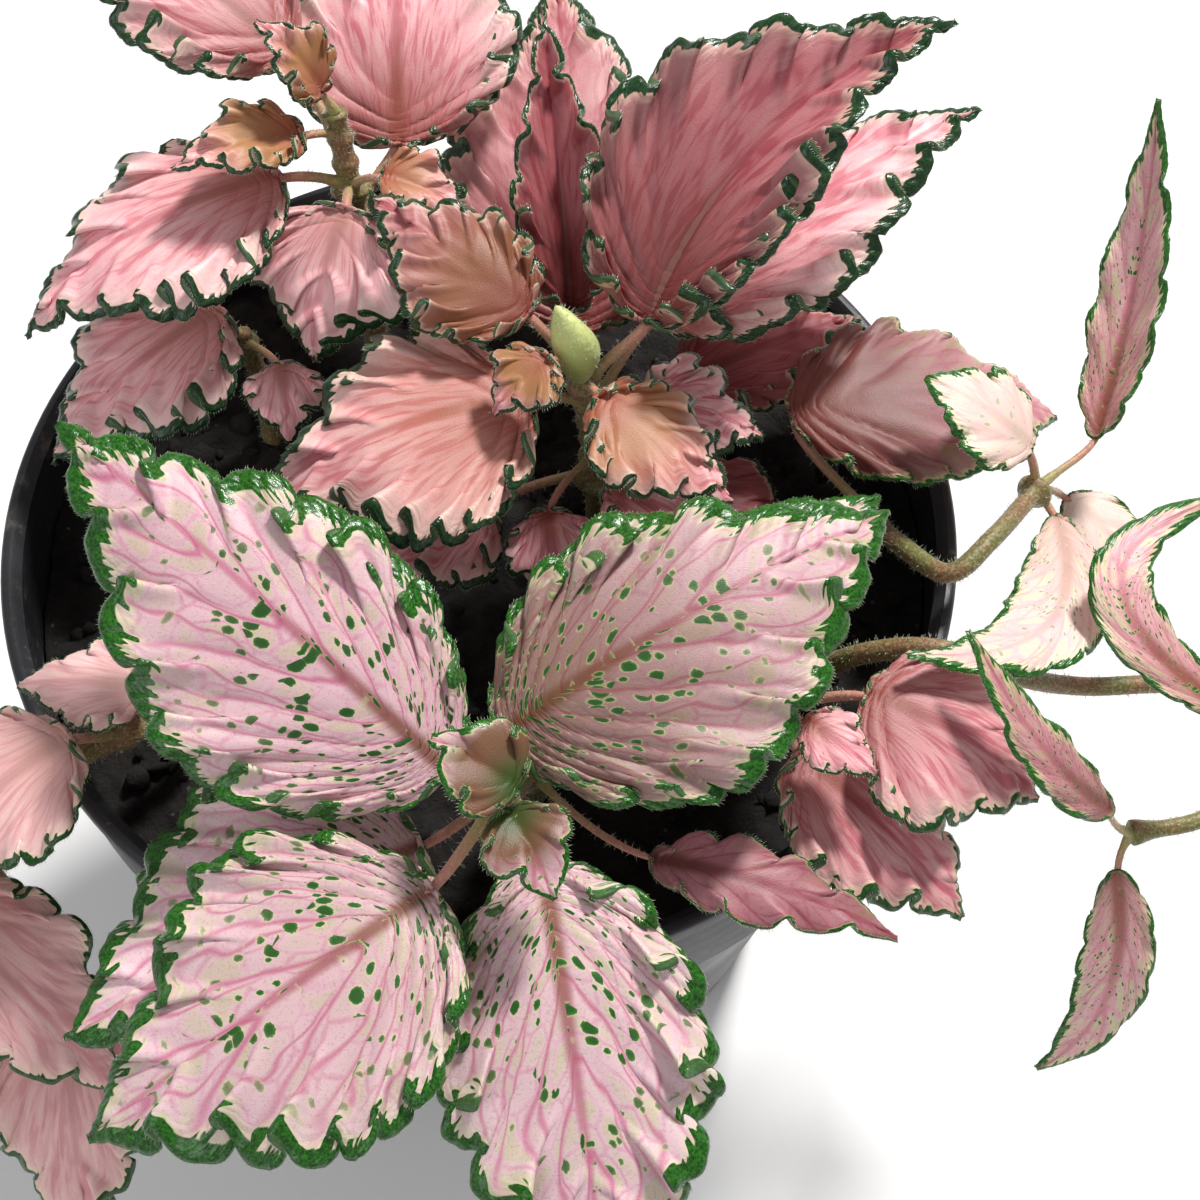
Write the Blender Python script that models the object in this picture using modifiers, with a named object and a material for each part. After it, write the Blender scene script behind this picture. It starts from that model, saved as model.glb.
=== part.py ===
"""Potted nerve plant: a tapered nursery pot, its potting mix, leafy stems and frilled leaves.

The frame stands on the pot's base: origin at the centre of the base, +Z up, front towards -Y.
Sizes in the tables are in millimetres and are turned into metres when a mesh is made.
"""

import math
from collections import namedtuple

import bmesh
import bpy
import numpy as np

MM = 0.001

# Pot
RIM_RADIUS = 52.5
LIP_OUT = 1.0
LIP_DEPTH = 3.0
POT_HEIGHT = 90.0
COLLAR_DEPTH = 18.0
COLLAR_STEP = 3.0
BASE_RADIUS = 37.5
COLLAR_RADIUS = RIM_RADIUS - LIP_OUT
SHOULDER_RADIUS = COLLAR_RADIUS - COLLAR_STEP
SHOULDER_HEIGHT = POT_HEIGHT - COLLAR_DEPTH
WALL = 1.2
POT_STEPS = 40
DRAIN_RADIUS = 4.0
DRAIN_RING = 29.0
DRAIN_HOLES = 6

# Potting mix
SOIL_TOP = 80.0
SOIL_GRID = 12
SOIL_RELIEF = 0.7
FIT_GAP = 0.45
SEAT_GAP = 0.35
HOLE_GAP = 0.75
FLOOR_GAP = 2.5
STEM_SINK = 3.5

# Leaves and stems
BLADE_THICKNESS = 0.7
LEAST_HALF_WIDTH = 0.35
PETIOLE_RADIUS = 0.75
PETIOLE_GAP = 0.5
PETIOLE_STEPS = 4
STEM_STEPS = 40
ACROSS = (-1.0, -0.5, 0.0, 0.5, 1.0)
ACROSS_NARROW = (-1.0, 0.0, 1.0)
NARROW_WIDTH = 12.0

# Each stem: its route from the soil up, its radius there and at the top, the colour of its
# leaves and the radius of the bud at its tip.
Stem = namedtuple("Stem", "points radius top_radius leaf_colour bud", defaults=(0.0,))

STEMS = {
    "front": Stem([(6, -29, 78), (6, -30, 90), (4, -39, 100), (4, -42, 108.5)], 1.6, 1.2, "spotted_leaf", 1.0),
    "middle": Stem([(13, 4, 78), (13, 5, 92), (12, 6, 102), (11, 6, 110)], 1.6, 1.2, "salmon_leaf", 2.2),
    "left": Stem([(-13, 25, 78), (-13, 26, 95), (-14, 30, 108), (-15, 33, 118)], 1.6, 1.1, "salmon_leaf"),
    "left_low": Stem([(-26, 18, 78), (-26, 19, 88), (-27, 20, 97)], 1.3, 1.0, "salmon_leaf"),
    "right": Stem(
        [(43, 3, 78), (43.2, 2.6, 85), (45.5, -4, 91), (50, -10, 94.5), (55, -6, 95), (61, 2, 92)],
        1.2, 1.0, "pale_leaf",
    ),
    "right_low": Stem(
        [(37, -16, 78), (38, -17, 87), (44, -18, 92.5), (50, -19, 93.5), (58, -19, 88), (66, -17.5, 83),
         (78, -17, 82), (88, -20, 78.5), (86.5, -26, 77.5), (78, -31, 78), (70, -33, 79)],
        1.2, 0.9, "pale_leaf",
    ),
    "right_front": Stem([(27, -21, 78), (27, -22, 88), (31, -25, 93)], 1.4, 1.0, "rose_leaf"),
    "left_front": Stem(
        [(-28, -21, 78), (-29, -22, 88), (-37, -29, 93), (-46, -35, 92), (-50, -38, 85),
         (-49, -40, 76), (-48, -43, 70)],
        1.4, 1.0, "rose_leaf",
    ),
}

# Each leaf: where its blade starts and ends, its width, where its petiole leaves the stem
# (0 at the soil, 1 at the top), the midrib's rise (bow) and sideways swing (sweep) in blade
# lengths, how much wider its left half is (lean), its turn about the midrib and the lift of
# its halves in degrees (roll, cup), and the height and number of its margin's waves.
Leaf = namedtuple(
    "Leaf", "base tip width at bow sweep lean roll cup frill waves",
    defaults=(0.8, 0.08, 0.0, 0.0, 0, -6, 1.6, 6),
)

LEAVES = {
    "front_leaf_1": Leaf((-1, -38, 105), (-39, -7, 118), 28, 0.75, lean=0.15, roll=12, cup=-8, frill=1.7),
    "front_leaf_2": Leaf(
        (4, -36, 109), (42, -12, 110), 28, 0.9, 0.12, lean=-0.14, roll=-12, cup=-8, frill=1.7,
    ),
    "front_leaf_3": Leaf((-2, -50, 106), (-33, -70, 96), 31, 0.9, 0.10, 0.03, frill=1.7),
    "front_leaf_4": Leaf((8, -47, 104), (15, -88, 81), 25, 0.8, lean=0.03, frill=1.7),
    "front_leaf_5": Leaf((-4, -42, 97), (-38, -59, 89), 29, 0.45, lean=-0.15, frill=1.7),
    "front_leaf_6": Leaf((11, -28.5, 97), (43, -2, 98), 23, 0.45, 0.06, frill=1.7),
    "front_leaf_7": Leaf((6, -43.4, 113), (-2, -39.4, 115.5), 9.5, 1.0, cup=8, frill=0.4, waves=3),
    "front_leaf_8": Leaf((5, -44.6, 111.2), (9.4, -52.4, 109.5), 8.5, 1.0, cup=10, frill=0.4, waves=3),
    "front_leaf_9": Leaf((18, -44, 99), (42, -50, 93), 8, 0.4, 0.10, frill=1.0, waves=5),
    "middle_leaf_1": Leaf((6, 10, 113), (-11, 22, 118), 15, 0.85, 0.04, lean=0.1, roll=10),
    "middle_leaf_2": Leaf((18, 8, 114), (49, 32, 132), 24, 0.8, 0.06, 0.1, 0.15, -5, 18, 2.0, 7),
    "middle_leaf_3": Leaf((19, 16, 105), (55, 38, 114), 25, 0.6, 0.06, lean=0.15, cup=-4, frill=2.0),
    "middle_leaf_4": Leaf((6, 3, 108), (-23, -5, 100), 25, 0.7, 0.14, lean=0.1, roll=5, cup=-4, frill=2.0),
    "middle_leaf_5": Leaf((13, 2, 110), (27, -7, 103), 13, 0.85, 0.12, lean=-0.2, cup=-4, frill=1.5),
    "middle_leaf_6": Leaf((8, 3.4, 114.5), (2.4, -1.8, 111.6), 8.5, 1.0, 0.12, cup=-4, frill=0.8, waves=4),
    "middle_leaf_7": Leaf((7.5, -3, 96), (9, -12, 89), 10, 0.4, 0.12, cup=-4, waves=4),
    "middle_leaf_8": Leaf((14, -1, 98), (25, -7, 93), 11, 0.4, 0.12, cup=-4, waves=5),
    "middle_leaf_9": Leaf((17, 6, 102.5), (31, 4, 99.5), 14, 0.5, 0.12, cup=-4, waves=5),
    "middle_leaf_10": Leaf((10, 18, 103), (7, 42, 125), 12.5, 0.3, 0.05, cup=34, frill=1.4),
    "middle_leaf_11": Leaf((11, 20, 97), (8, 66, 107), 30, 0.35, cup=-4, waves=5),
    "middle_leaf_12": Leaf((22, 16, 92), (44, 27, 91), 15, 0.3, cup=-4, frill=1.2, waves=4),
    "middle_leaf_13": Leaf((19, 3, 91), (40, -3, 84), 15, 0.3, cup=-4, frill=1.2, waves=4),
    "middle_leaf_14": Leaf((1, 0, 93), (-11, -8, 89), 15, 0.3, cup=-4, frill=1.2, waves=4),
    "left_leaf_1": Leaf((-21, 28, 114), (-49, 14, 104), 22, 0.7, 0.14, lean=0.1, frill=1.5),
    "left_leaf_2": Leaf((-14, 25, 112), (-18, 13, 100), 20, 0.7, 0.16, waves=5),
    "left_leaf_3": Leaf((-20, 40, 119), (-48, 56, 127), 20, 0.8, 0.10, waves=5),
    "left_leaf_4": Leaf((-9, 35, 111), (-10, 68, 119), 27, 0.6),
    "left_leaf_5": Leaf((-18, 29, 119), (-31, 23, 120), 10, 0.9, cup=12, frill=1.0, waves=4),
    "left_leaf_6": Leaf((-16, 33, 121), (-22, 35, 129), 9, 1.0, cup=12, frill=1.0, waves=4),
    "left_leaf_7": Leaf((-10, 27, 115), (-1, 25, 111), 9, 0.7, cup=12, frill=1.2, waves=4),
    "left_low_leaf_1": Leaf((-29, 21, 100), (-47, 4, 94), 20, 0.9, 0.12, frill=1.5, waves=5),
    "left_low_leaf_2": Leaf((-22, 15, 98), (-21, 7, 94), 9, 0.9, frill=1.2, waves=3),
    "right_leaf_1": Leaf((68.5, 9, 92), (74, 38, 115), 9, 1.0, -0.06, roll=40, cup=10, frill=0.9, waves=5),
    "right_leaf_2": Leaf((34, 9, 97), (66, 15, 88), 22, 0.3, 0.12, frill=1.5),
    "right_leaf_3": Leaf((59.5, 3, 99), (47.5, 8, 105), 12, 1.0, frill=0.8, waves=4),
    "right_leaf_4": Leaf((66.8, 6.5, 84), (76, -3.5, 80), 9.5, 1.0, frill=0.5, waves=3),
    "right_leaf_5": Leaf((63.5, -0.5, 91), (43.5, -23.5, 101.5), 10.5, 1.0, -0.01, 0.24, frill=0.8, waves=5),
    "right_low_leaf_1": Leaf((79, -26, 92), (81.5, -2, 98), 7, 0.7, 0.17, 0.54, frill=0.6, waves=5),
    "right_low_leaf_2": Leaf((66, -34, 87), (49.3, -22.3, 104.5), 6.5, 1.0, 0.08, 0.12, frill=0.7, waves=4),
    "right_low_leaf_3": Leaf((68.5, -36, 76), (62.4, -51.3, 54), 8, 1.0, sweep=0.14, frill=0.7, waves=4),
    "right_front_leaf_1": Leaf((40, -26, 98), (58, -34, 90), 20, 0.8, 0.12, lean=-0.1, frill=1.4, waves=5),
    "right_front_leaf_2": Leaf((33, -31, 95), (50, -45, 85), 18, 0.9, cup=0, frill=1.4, waves=5),
    "right_front_leaf_3": Leaf((33, -31, 102), (40, -36, 100), 7, 1.0, frill=0.6, waves=4),
    "left_front_leaf_1": Leaf((-39, -31, 98.5), (-54, -43, 91), 17, 0.3, 0.12, frill=1.4, waves=5),
    "left_front_leaf_2": Leaf((-55, -43, 86), (-37, -58, 69), 17.5, 0.8, 0.12, frill=1.4, waves=4),
    "left_front_leaf_3": Leaf((-32, -25, 97), (-46, -24, 96), 10, 0.3, frill=0.8, waves=4),
    "left_front_leaf_4": Leaf((-44, -47, 68), (-42, -70, 54), 20, 1.0, 0.12, frill=1.5, waves=5),
}

COLOURS = {
    "pot": ((0.012, 0.012, 0.013), 0.45),
    "potting_mix": ((0.030, 0.018, 0.010), 0.95),
    "stem": ((0.26, 0.27, 0.07), 0.60),
    "spotted_leaf": ((0.80, 0.47, 0.49), 0.55),
    "salmon_leaf": ((0.80, 0.33, 0.32), 0.55),
    "pale_leaf": ((0.78, 0.45, 0.44), 0.55),
    "rose_leaf": ((0.76, 0.36, 0.38), 0.55),
}


def clear_scene():
    for obj in list(bpy.data.objects):
        bpy.data.objects.remove(obj, do_unlink=True)


def new_collection(name):
    collection = bpy.data.collections.new(name)
    bpy.context.scene.collection.children.link(collection)
    return collection


def place(obj, collection):
    """Keep the object in one collection only."""
    for other in list(obj.users_collection):
        other.objects.unlink(obj)
    collection.objects.link(obj)
    return obj


def paint(obj, key):
    colour, roughness = COLOURS[key]
    material = bpy.data.materials.new(obj.name)
    material.use_nodes = True
    shader = material.node_tree.nodes["Principled BSDF"]
    shader.inputs["Base Color"].default_value = (*colour, 1.0)
    shader.inputs["Roughness"].default_value = roughness
    obj.data.materials.append(material)


def make_cutter(obj):
    obj.hide_render = True
    obj.display_type = "WIRE"


def inner_radius(z):
    """Radius of the pot's inside at height z."""
    if z > SHOULDER_HEIGHT:
        return COLLAR_RADIUS - WALL
    return BASE_RADIUS - WALL + (SHOULDER_RADIUS - BASE_RADIUS) * z / SHOULDER_HEIGHT


def pot_profile():
    """Outer side from the lip down, then the inner side from the floor up."""
    step = SHOULDER_HEIGHT
    return [
        (RIM_RADIUS - 0.4, POT_HEIGHT), (RIM_RADIUS, POT_HEIGHT - 0.5),
        (RIM_RADIUS, POT_HEIGHT - LIP_DEPTH + 0.5), (COLLAR_RADIUS, POT_HEIGHT - LIP_DEPTH),
        (COLLAR_RADIUS, step + 1.0), (SHOULDER_RADIUS + 1.5, step - 0.5), (SHOULDER_RADIUS, step - 2.0),
        (BASE_RADIUS + 0.6, 2.0), (BASE_RADIUS - 1.0, 0.0), (0.0, 0.0),
        (0.0, WALL), (inner_radius(0.0) - 1.0, WALL), (inner_radius(0.0) + 0.2, WALL + 1.2),
        (SHOULDER_RADIUS - WALL, step - 1.5), (COLLAR_RADIUS - WALL, step + 1.5),
        (COLLAR_RADIUS - WALL, POT_HEIGHT - 0.5), (RIM_RADIUS - WALL, POT_HEIGHT),
    ]


def make_pot(parts, cutters):
    bm = bmesh.new()
    rings = [bm.verts.new((x * MM, 0.0, z * MM)) for x, z in pot_profile()]
    for first, second in zip(rings, rings[1:] + rings[:1]):
        if first.co.x > 0.0 or second.co.x > 0.0:
            bm.edges.new((first, second))
    mesh = bpy.data.meshes.new("pot")
    bm.to_mesh(mesh)
    bm.free()
    pot = bpy.data.objects.new("pot", mesh)
    parts.objects.link(pot)
    screw = pot.modifiers.new("turn", "SCREW")
    screw.steps = POT_STEPS
    screw.render_steps = POT_STEPS
    screw.use_merge_vertices = True
    screw.merge_threshold = 0.00005
    screw.use_smooth_shade = True
    paint(pot, "pot")
    for i in range(DRAIN_HOLES):
        angle = 2 * math.pi * (i + 0.5) / DRAIN_HOLES
        bpy.ops.mesh.primitive_cylinder_add(
            vertices=16, radius=DRAIN_RADIUS * MM, depth=6 * MM,
            location=(DRAIN_RING * math.cos(angle) * MM, DRAIN_RING * math.sin(angle) * MM, 0.0),
        )
        drill = place(bpy.context.object, cutters)
        drill.name = f"drain_{i + 1}"
        make_cutter(drill)
        cut = pot.modifiers.new(drill.name, "BOOLEAN")
        cut.operation = "DIFFERENCE"
        cut.object = drill
    return pot


def soil_height(x, y):
    """Low mounds on the potting mix."""
    mounds = np.sin(0.21 * x + 1.3) * np.cos(0.17 * y) + 0.6 * np.sin(0.33 * y - 0.12 * x)
    return SOIL_TOP + SOIL_RELIEF * mounds


def make_potting_mix(parts, cutters):
    """A square grid drawn out to a disc, with walls down to the pot's floor."""
    bpy.ops.mesh.primitive_grid_add(x_subdivisions=SOIL_GRID, y_subdivisions=SOIL_GRID, size=2.0)
    soil = place(bpy.context.object, parts)
    soil.name = "potting_mix"
    bm = bmesh.new()
    bm.from_mesh(soil.data)
    radius = inner_radius(SOIL_TOP) - FIT_GAP
    for vert in bm.verts:
        x = radius * vert.co.x * math.sqrt(1 - vert.co.y ** 2 / 2)
        y = radius * vert.co.y * math.sqrt(1 - vert.co.x ** 2 / 2)
        vert.co = (x * MM, y * MM, soil_height(x, y) * MM)
    below = SHOULDER_HEIGHT - 2.0
    walls = [
        (SHOULDER_HEIGHT + 2.0, radius),
        (below, inner_radius(below) - FIT_GAP),
        (WALL + FLOOR_GAP, inner_radius(FLOOR_GAP) - FIT_GAP),
    ]
    for height, ring_radius in walls:
        border = [edge for edge in bm.edges if edge.is_boundary]
        grown = bmesh.ops.extrude_edge_only(bm, edges=border)["geom"]
        for vert in (item for item in grown if isinstance(item, bmesh.types.BMVert)):
            angle = math.atan2(vert.co.y, vert.co.x)
            vert.co = (ring_radius * math.cos(angle) * MM, ring_radius * math.sin(angle) * MM, height * MM)
    bmesh.ops.holes_fill(bm, edges=[edge for edge in bm.edges if edge.is_boundary])
    bmesh.ops.triangulate(bm, faces=bm.faces)
    bmesh.ops.recalc_face_normals(bm, faces=bm.faces)
    bm.to_mesh(soil.data)
    bm.free()
    paint(soil, "potting_mix")
    for name, stem in STEMS.items():
        x, y, _ = stem.points[0]
        top, bottom = SOIL_TOP + 4.0, SOIL_TOP - STEM_SINK - SEAT_GAP
        bpy.ops.mesh.primitive_cylinder_add(
            vertices=12, radius=(stem.radius + HOLE_GAP) * MM, depth=(top - bottom) * MM,
            location=(x * MM, y * MM, (top + bottom) / 2 * MM),
        )
        hole = place(bpy.context.object, cutters)
        hole.name = f"hole_{name}"
        make_cutter(hole)
        cut = soil.modifiers.new(hole.name, "BOOLEAN")
        cut.operation = "DIFFERENCE"
        cut.object = hole
    return soil


def stem_of(leaf_name):
    return leaf_name.split("_leaf_")[0]


def smooth_path(points, steps):
    """Points along a smooth curve through the given points."""
    p = np.array(points, float)
    p = np.vstack([2 * p[0] - p[1], p, 2 * p[-1] - p[-2]])
    t = np.linspace(0, len(points) - 1, steps + 1)
    i = np.minimum(t.astype(int), len(points) - 2)
    f = (t - i)[:, None]
    a, b, c, d = p[i], p[i + 1], p[i + 2], p[i + 3]
    square = 2 * a - 5 * b + 4 * c - d
    cube = 3 * b - a - 3 * c + d
    return 0.5 * (2 * b + (c - a) * f + square * f ** 2 + cube * f ** 3)


def stem_path(stem, steps):
    foot = np.array(stem.points[0], float)
    foot[2] = SOIL_TOP - STEM_SINK
    return smooth_path([tuple(foot)] + list(stem.points[1:]), steps)


def smooth_step(low, high, x):
    u = np.clip((x - low) / (high - low), 0, 1)
    return u * u * (3 - 2 * u)


def leaf_frame(leaf):
    """Base, length and the axes along, across and out of the blade."""
    base = np.array(leaf.base, float)
    chord = np.array(leaf.tip, float) - base
    length = np.linalg.norm(chord)
    along = chord / length
    up = np.array([0.0, 0.0, 1.0]) - along * along[2]
    up /= np.linalg.norm(up)
    turn = math.radians(leaf.roll)
    out = math.cos(turn) * up + math.sin(turn) * np.cross(up, along)
    return base, length, along, np.cross(out, along), out


def wave_phase(leaf, seed, tau):
    """Phase of the margin's waves, a little uneven from wave to wave."""
    shift = np.random.default_rng(seed).uniform(0, 2 * math.pi, 2)
    uneven = 0.5 * np.sin(8.2 * tau + shift[0]) + 0.35 * np.sin(18.2 * tau + shift[1])
    return 2 * math.pi * leaf.waves * tau + uneven


def wave_crests(leaf, seed):
    """Places along the margin of the crests and troughs, with both ends."""
    t = np.linspace(0, 1, 400)
    phase = wave_phase(leaf, seed, t)
    turns = np.arange(math.ceil(phase[0] / math.pi - 0.5), math.floor(phase[-1] / math.pi - 0.5) + 1)
    crests = np.interp((turns + 0.5) * math.pi, phase, t)
    return np.concatenate([[0.0], crests[(crests > 0.02) & (crests < 0.97)], [1.0]])


def blade_points(leaf, seed, tau, s):
    """Points of a blade, with tau from base to tip along the margin and s from -1 to 1 across.

    The margin is a pointed oval, each side vein arches from the midrib to the margin, the
    midrib bows and sweeps, and the outer part of the blade rises and falls in waves.
    """
    base, length, along, across, out = leaf_frame(leaf)
    ahead = tau ** 1.4 - 0.15 * tau * np.exp(-((tau / 0.12) ** 2))
    half = np.hypot(leaf.width / length / 2 * (4 * tau * (1 - tau)) ** 0.95, LEAST_HALF_WIDTH / length)
    low = 0.25 * ahead
    rise = ahead - half - low
    start = np.minimum(low + 0.5 * (rise + np.sqrt(rise ** 2 + 0.01 * tau)), ahead)
    a = np.abs(s)
    half = half * (1 + leaf.lean * np.sign(s))
    u = np.clip(start + (ahead - start) * a - 0.35 * half * a * (1 - a), -0.05, 1.05)
    arch = 4 * u * (1 - u)
    slope = 4 * (1 - 2 * u)
    middle = base + length * (u[..., None] * along + arch[..., None] * (leaf.bow * out + leaf.sweep * across))
    tangent = along + slope[..., None] * (leaf.bow * out + leaf.sweep * across)
    tangent /= np.linalg.norm(tangent, axis=-1, keepdims=True)
    normal = out - (tangent @ out)[..., None] * tangent
    normal /= np.linalg.norm(normal, axis=-1, keepdims=True)
    side = np.cross(normal, tangent)
    phase = wave_phase(leaf, seed, tau)
    fade = smooth_step(0.02, 0.16, tau) * (1 - 0.8 * smooth_step(0.72, 0.98, tau))
    wave = leaf.frill * fade * np.clip((a - 0.4) / 0.6, 0, 1) ** 1.7
    cup = math.radians(leaf.cup)
    lift = length * half * a * math.sin(cup) + wave * np.sin(phase)
    reach = np.sign(s) * (length * half * a * math.cos(cup) + 0.45 * wave * np.sin(phase))
    shift = 0.4 * wave * np.sin(2 * phase)
    return middle + reach[..., None] * side + lift[..., None] * normal + shift[..., None] * tangent


def make_leaf(name, leaf, seed, parts):
    """A flat grid bent to the blade's form and given its thickness."""
    crests = wave_crests(leaf, seed)
    stations = np.array(ACROSS_NARROW if leaf.width < NARROW_WIDTH else ACROSS)
    rows, columns = len(crests) - 1, len(stations) - 1
    bpy.ops.mesh.primitive_grid_add(x_subdivisions=rows, y_subdivisions=columns, size=2.0)
    blade = place(bpy.context.object, parts)
    blade.name = name
    flat = np.empty(len(blade.data.vertices) * 3)
    blade.data.vertices.foreach_get("co", flat)
    flat = flat.reshape(-1, 3)
    tau = crests[np.rint((flat[:, 0] + 1) / 2 * rows).astype(int)]
    s = stations[np.rint((flat[:, 1] + 1) / 2 * columns).astype(int)]
    blade.data.vertices.foreach_set("co", (blade_points(leaf, seed, tau, s) * MM).ravel())
    blade.data.update()
    split = blade.modifiers.new("split", "TRIANGULATE")
    split.quad_method = "FIXED"
    thick = blade.modifiers.new("thickness", "SOLIDIFY")
    thick.thickness = BLADE_THICKNESS * MM
    thick.offset = 0.0
    paint(blade, STEMS[stem_of(name)].leaf_colour)
    return blade


def petiole_path(leaf, stem):
    """A curve from the stem's middle to just under the start of the blade."""
    trunk = stem_path(stem, STEM_STEPS)
    index = min(int(leaf.at * STEM_STEPS), STEM_STEPS - 1)
    root = trunk[index] + (leaf.at * STEM_STEPS - index) * (trunk[index + 1] - trunk[index])
    growth = trunk[index + 1] - trunk[index]
    growth /= np.linalg.norm(growth)
    base, _, along, across, out = leaf_frame(leaf)
    tangent = along + 4 * leaf.bow * out + 4 * leaf.sweep * across
    tangent /= np.linalg.norm(tangent)
    normal = out - (out @ tangent) * tangent
    normal /= np.linalg.norm(normal)
    end = base + 0.8 * tangent - (BLADE_THICKNESS / 2 + PETIOLE_GAP + PETIOLE_RADIUS) * normal
    span = np.linalg.norm(end - root)
    first = root + 0.35 * span * (0.5 * growth + 0.8 * (end - root) / span)
    second = end - 0.3 * span * tangent
    t = np.linspace(0, 1, PETIOLE_STEPS + 1)[:, None]
    return (1 - t) ** 3 * root + 3 * (1 - t) ** 2 * t * first + 3 * (1 - t) * t ** 2 * second + t ** 3 * end


def make_tube(name, points, radii, collection, sides):
    """A tube along the points with its own radius at each, as a closed mesh."""
    curve = bpy.data.curves.new(name, "CURVE")
    curve.dimensions = "3D"
    curve.bevel_depth = MM
    curve.bevel_resolution = sides
    curve.use_fill_caps = True
    spline = curve.splines.new("POLY")
    spline.points.add(len(points) - 1)
    for point, place_mm, radius in zip(spline.points, points, radii):
        point.co = (*(np.array(place_mm) * MM), 1.0)
        point.radius = radius
    guide = bpy.data.objects.new(name + "_guide", curve)
    collection.objects.link(guide)
    evaluated = guide.evaluated_get(bpy.context.evaluated_depsgraph_get())
    mesh = bpy.data.meshes.new_from_object(evaluated)
    bm = bmesh.new()
    bm.from_mesh(mesh)
    bmesh.ops.remove_doubles(bm, verts=bm.verts, dist=0.00001)
    bmesh.ops.recalc_face_normals(bm, faces=bm.faces)
    bm.to_mesh(mesh)
    bm.free()
    tube = bpy.data.objects.new(name, mesh)
    tube.matrix_world = guide.matrix_world
    bpy.data.objects.remove(guide)
    bpy.data.curves.remove(curve)
    collection.objects.link(tube)
    return tube


def make_bud(name, stem, collection):
    """A pointed egg at the stem's tip."""
    x, y, z = stem.points[-1]
    bpy.ops.mesh.primitive_uv_sphere_add(
        segments=10, ring_count=7, radius=stem.bud * MM, location=(x * MM, y * MM, (z + stem.bud) * MM)
    )
    bud = place(bpy.context.object, collection)
    bud.name = name
    for vert in bud.data.vertices:
        vert.co.z *= 1.7
    return bud


def make_stem(name, stem, parts, cutters):
    """A stem with its petioles and bud, joined into one body."""
    path = stem_path(stem, 2 * (len(stem.points) - 1))
    radii = np.linspace(stem.radius, stem.top_radius, len(path))
    trunk = make_tube(f"{name}_stem", path, radii, parts, 2)
    limbs = bpy.data.collections.new(f"{name}_petioles")
    cutters.children.link(limbs)
    for leaf_name, leaf in LEAVES.items():
        if stem_of(leaf_name) == name:
            route = petiole_path(leaf, stem)
            make_tube(f"{leaf_name}_petiole", route, [PETIOLE_RADIUS] * len(route), limbs, 1)
    if stem.bud:
        make_bud(f"{name}_bud", stem, limbs)
    join = trunk.modifiers.new("join", "BOOLEAN")
    join.operation = "UNION"
    join.operand_type = "COLLECTION"
    join.collection = limbs
    bpy.context.view_layer.objects.active = trunk
    bpy.ops.object.modifier_apply(modifier=join.name)
    for limb in list(limbs.objects):
        bpy.data.objects.remove(limb, do_unlink=True)
    bpy.data.collections.remove(limbs)
    trunk.data.shade_smooth()
    paint(trunk, "stem")
    return trunk


def main():
    clear_scene()
    parts = new_collection("potted_nerve_plant")
    cutters = new_collection("cutters")
    make_pot(parts, cutters)
    make_potting_mix(parts, cutters)
    for name, stem in STEMS.items():
        make_stem(name, stem, parts, cutters)
    for seed, (name, leaf) in enumerate(LEAVES.items()):
        make_leaf(name, leaf, seed, parts)


main()
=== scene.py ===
"""Looks of a potted nerve plant: frilled pink leaves, hairy stems, potting mix and a nursery pot.

The frame gives the object in metres, +Z up, with the front towards -Y. Tables here are in
millimetres and are turned into metres when a mesh is made. Colours are screen colours, 0 to 255.
"""

import math
from collections import namedtuple

import bpy
import numpy as np
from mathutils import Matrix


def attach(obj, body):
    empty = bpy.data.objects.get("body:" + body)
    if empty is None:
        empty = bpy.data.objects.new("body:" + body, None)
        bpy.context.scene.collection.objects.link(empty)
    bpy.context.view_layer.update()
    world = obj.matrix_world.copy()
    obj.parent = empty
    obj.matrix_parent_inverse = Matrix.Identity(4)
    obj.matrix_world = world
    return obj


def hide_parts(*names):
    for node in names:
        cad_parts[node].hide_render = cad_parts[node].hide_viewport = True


MM = 0.001

# Pot
RIM_RADIUS = 52.5
LIP_OUT = 1.0
LIP_DEPTH = 3.0
POT_HEIGHT = 90.0
COLLAR_DEPTH = 18.0
COLLAR_STEP = 3.0
BASE_RADIUS = 37.5
WALL = 1.2
COLLAR_RADIUS = RIM_RADIUS - LIP_OUT
SHOULDER_RADIUS = COLLAR_RADIUS - COLLAR_STEP
SHOULDER_HEIGHT = POT_HEIGHT - COLLAR_DEPTH
DRAIN_RADIUS = 4.0
DRAIN_RING = 29.0
DRAIN_HOLES = 6
DRAIN_TURN = 0.03
SOIL_TOP = 80.0
STEM_SINK = 3.5

POT_STEPS = 160
CRUMBS = 500

# Leaves, their relief and the crinkles of their edges
LEAST_HALF_WIDTH = 0.35
LAMINA_THICKNESS = 0.32
MARGIN_THICKNESS = 0.5
ROW_STEP = 0.45
WAVE_RISE = 0.55
EDGE_DROOP = 0.35
RIB_DEPTH = 0.3
VEIN_DEPTH = 0.1
PUFF_RISE = 0.24
SPOTTED_VEIN_STEP = 3.1
VEIN_STEP = 4.6
CRINKLE_STEP = 1.9
CRINKLE_RISE = 0.16
FULL_WIDTH = 20.0

# Stems, petioles, buds and hairs
PETIOLE_RADIUS = 0.75
NODE_SWELL = 0.22
BUD_LENGTH = 4.0
BUD_RADIUS = 1.15
TRUNK, PETIOLE, BUD = 0.0, 1.0, 2.0
HAIR_STEP = 0.3
HAIRS_PER_AREA = 2.0
HAIR_WIDTH = 0.035

# Floor, sky and camera; the camera's place is in metres and its tilt from straight down in degrees
FLOOR_REACH = 900.0
SKY_STRENGTH = 0.35
CAMERA_PLACE = (0.0132, -0.115, 0.2707)
CAMERA_TILT = 30.0
CAMERA_LENS = 58.2

# A stem's middle line from the soil up, its radius below and on top, the colour of its leaves
# and the size of its bud
Stem = namedtuple("Stem", "points radius top_radius leaf_colour bud", defaults=(0.0,))

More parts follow.
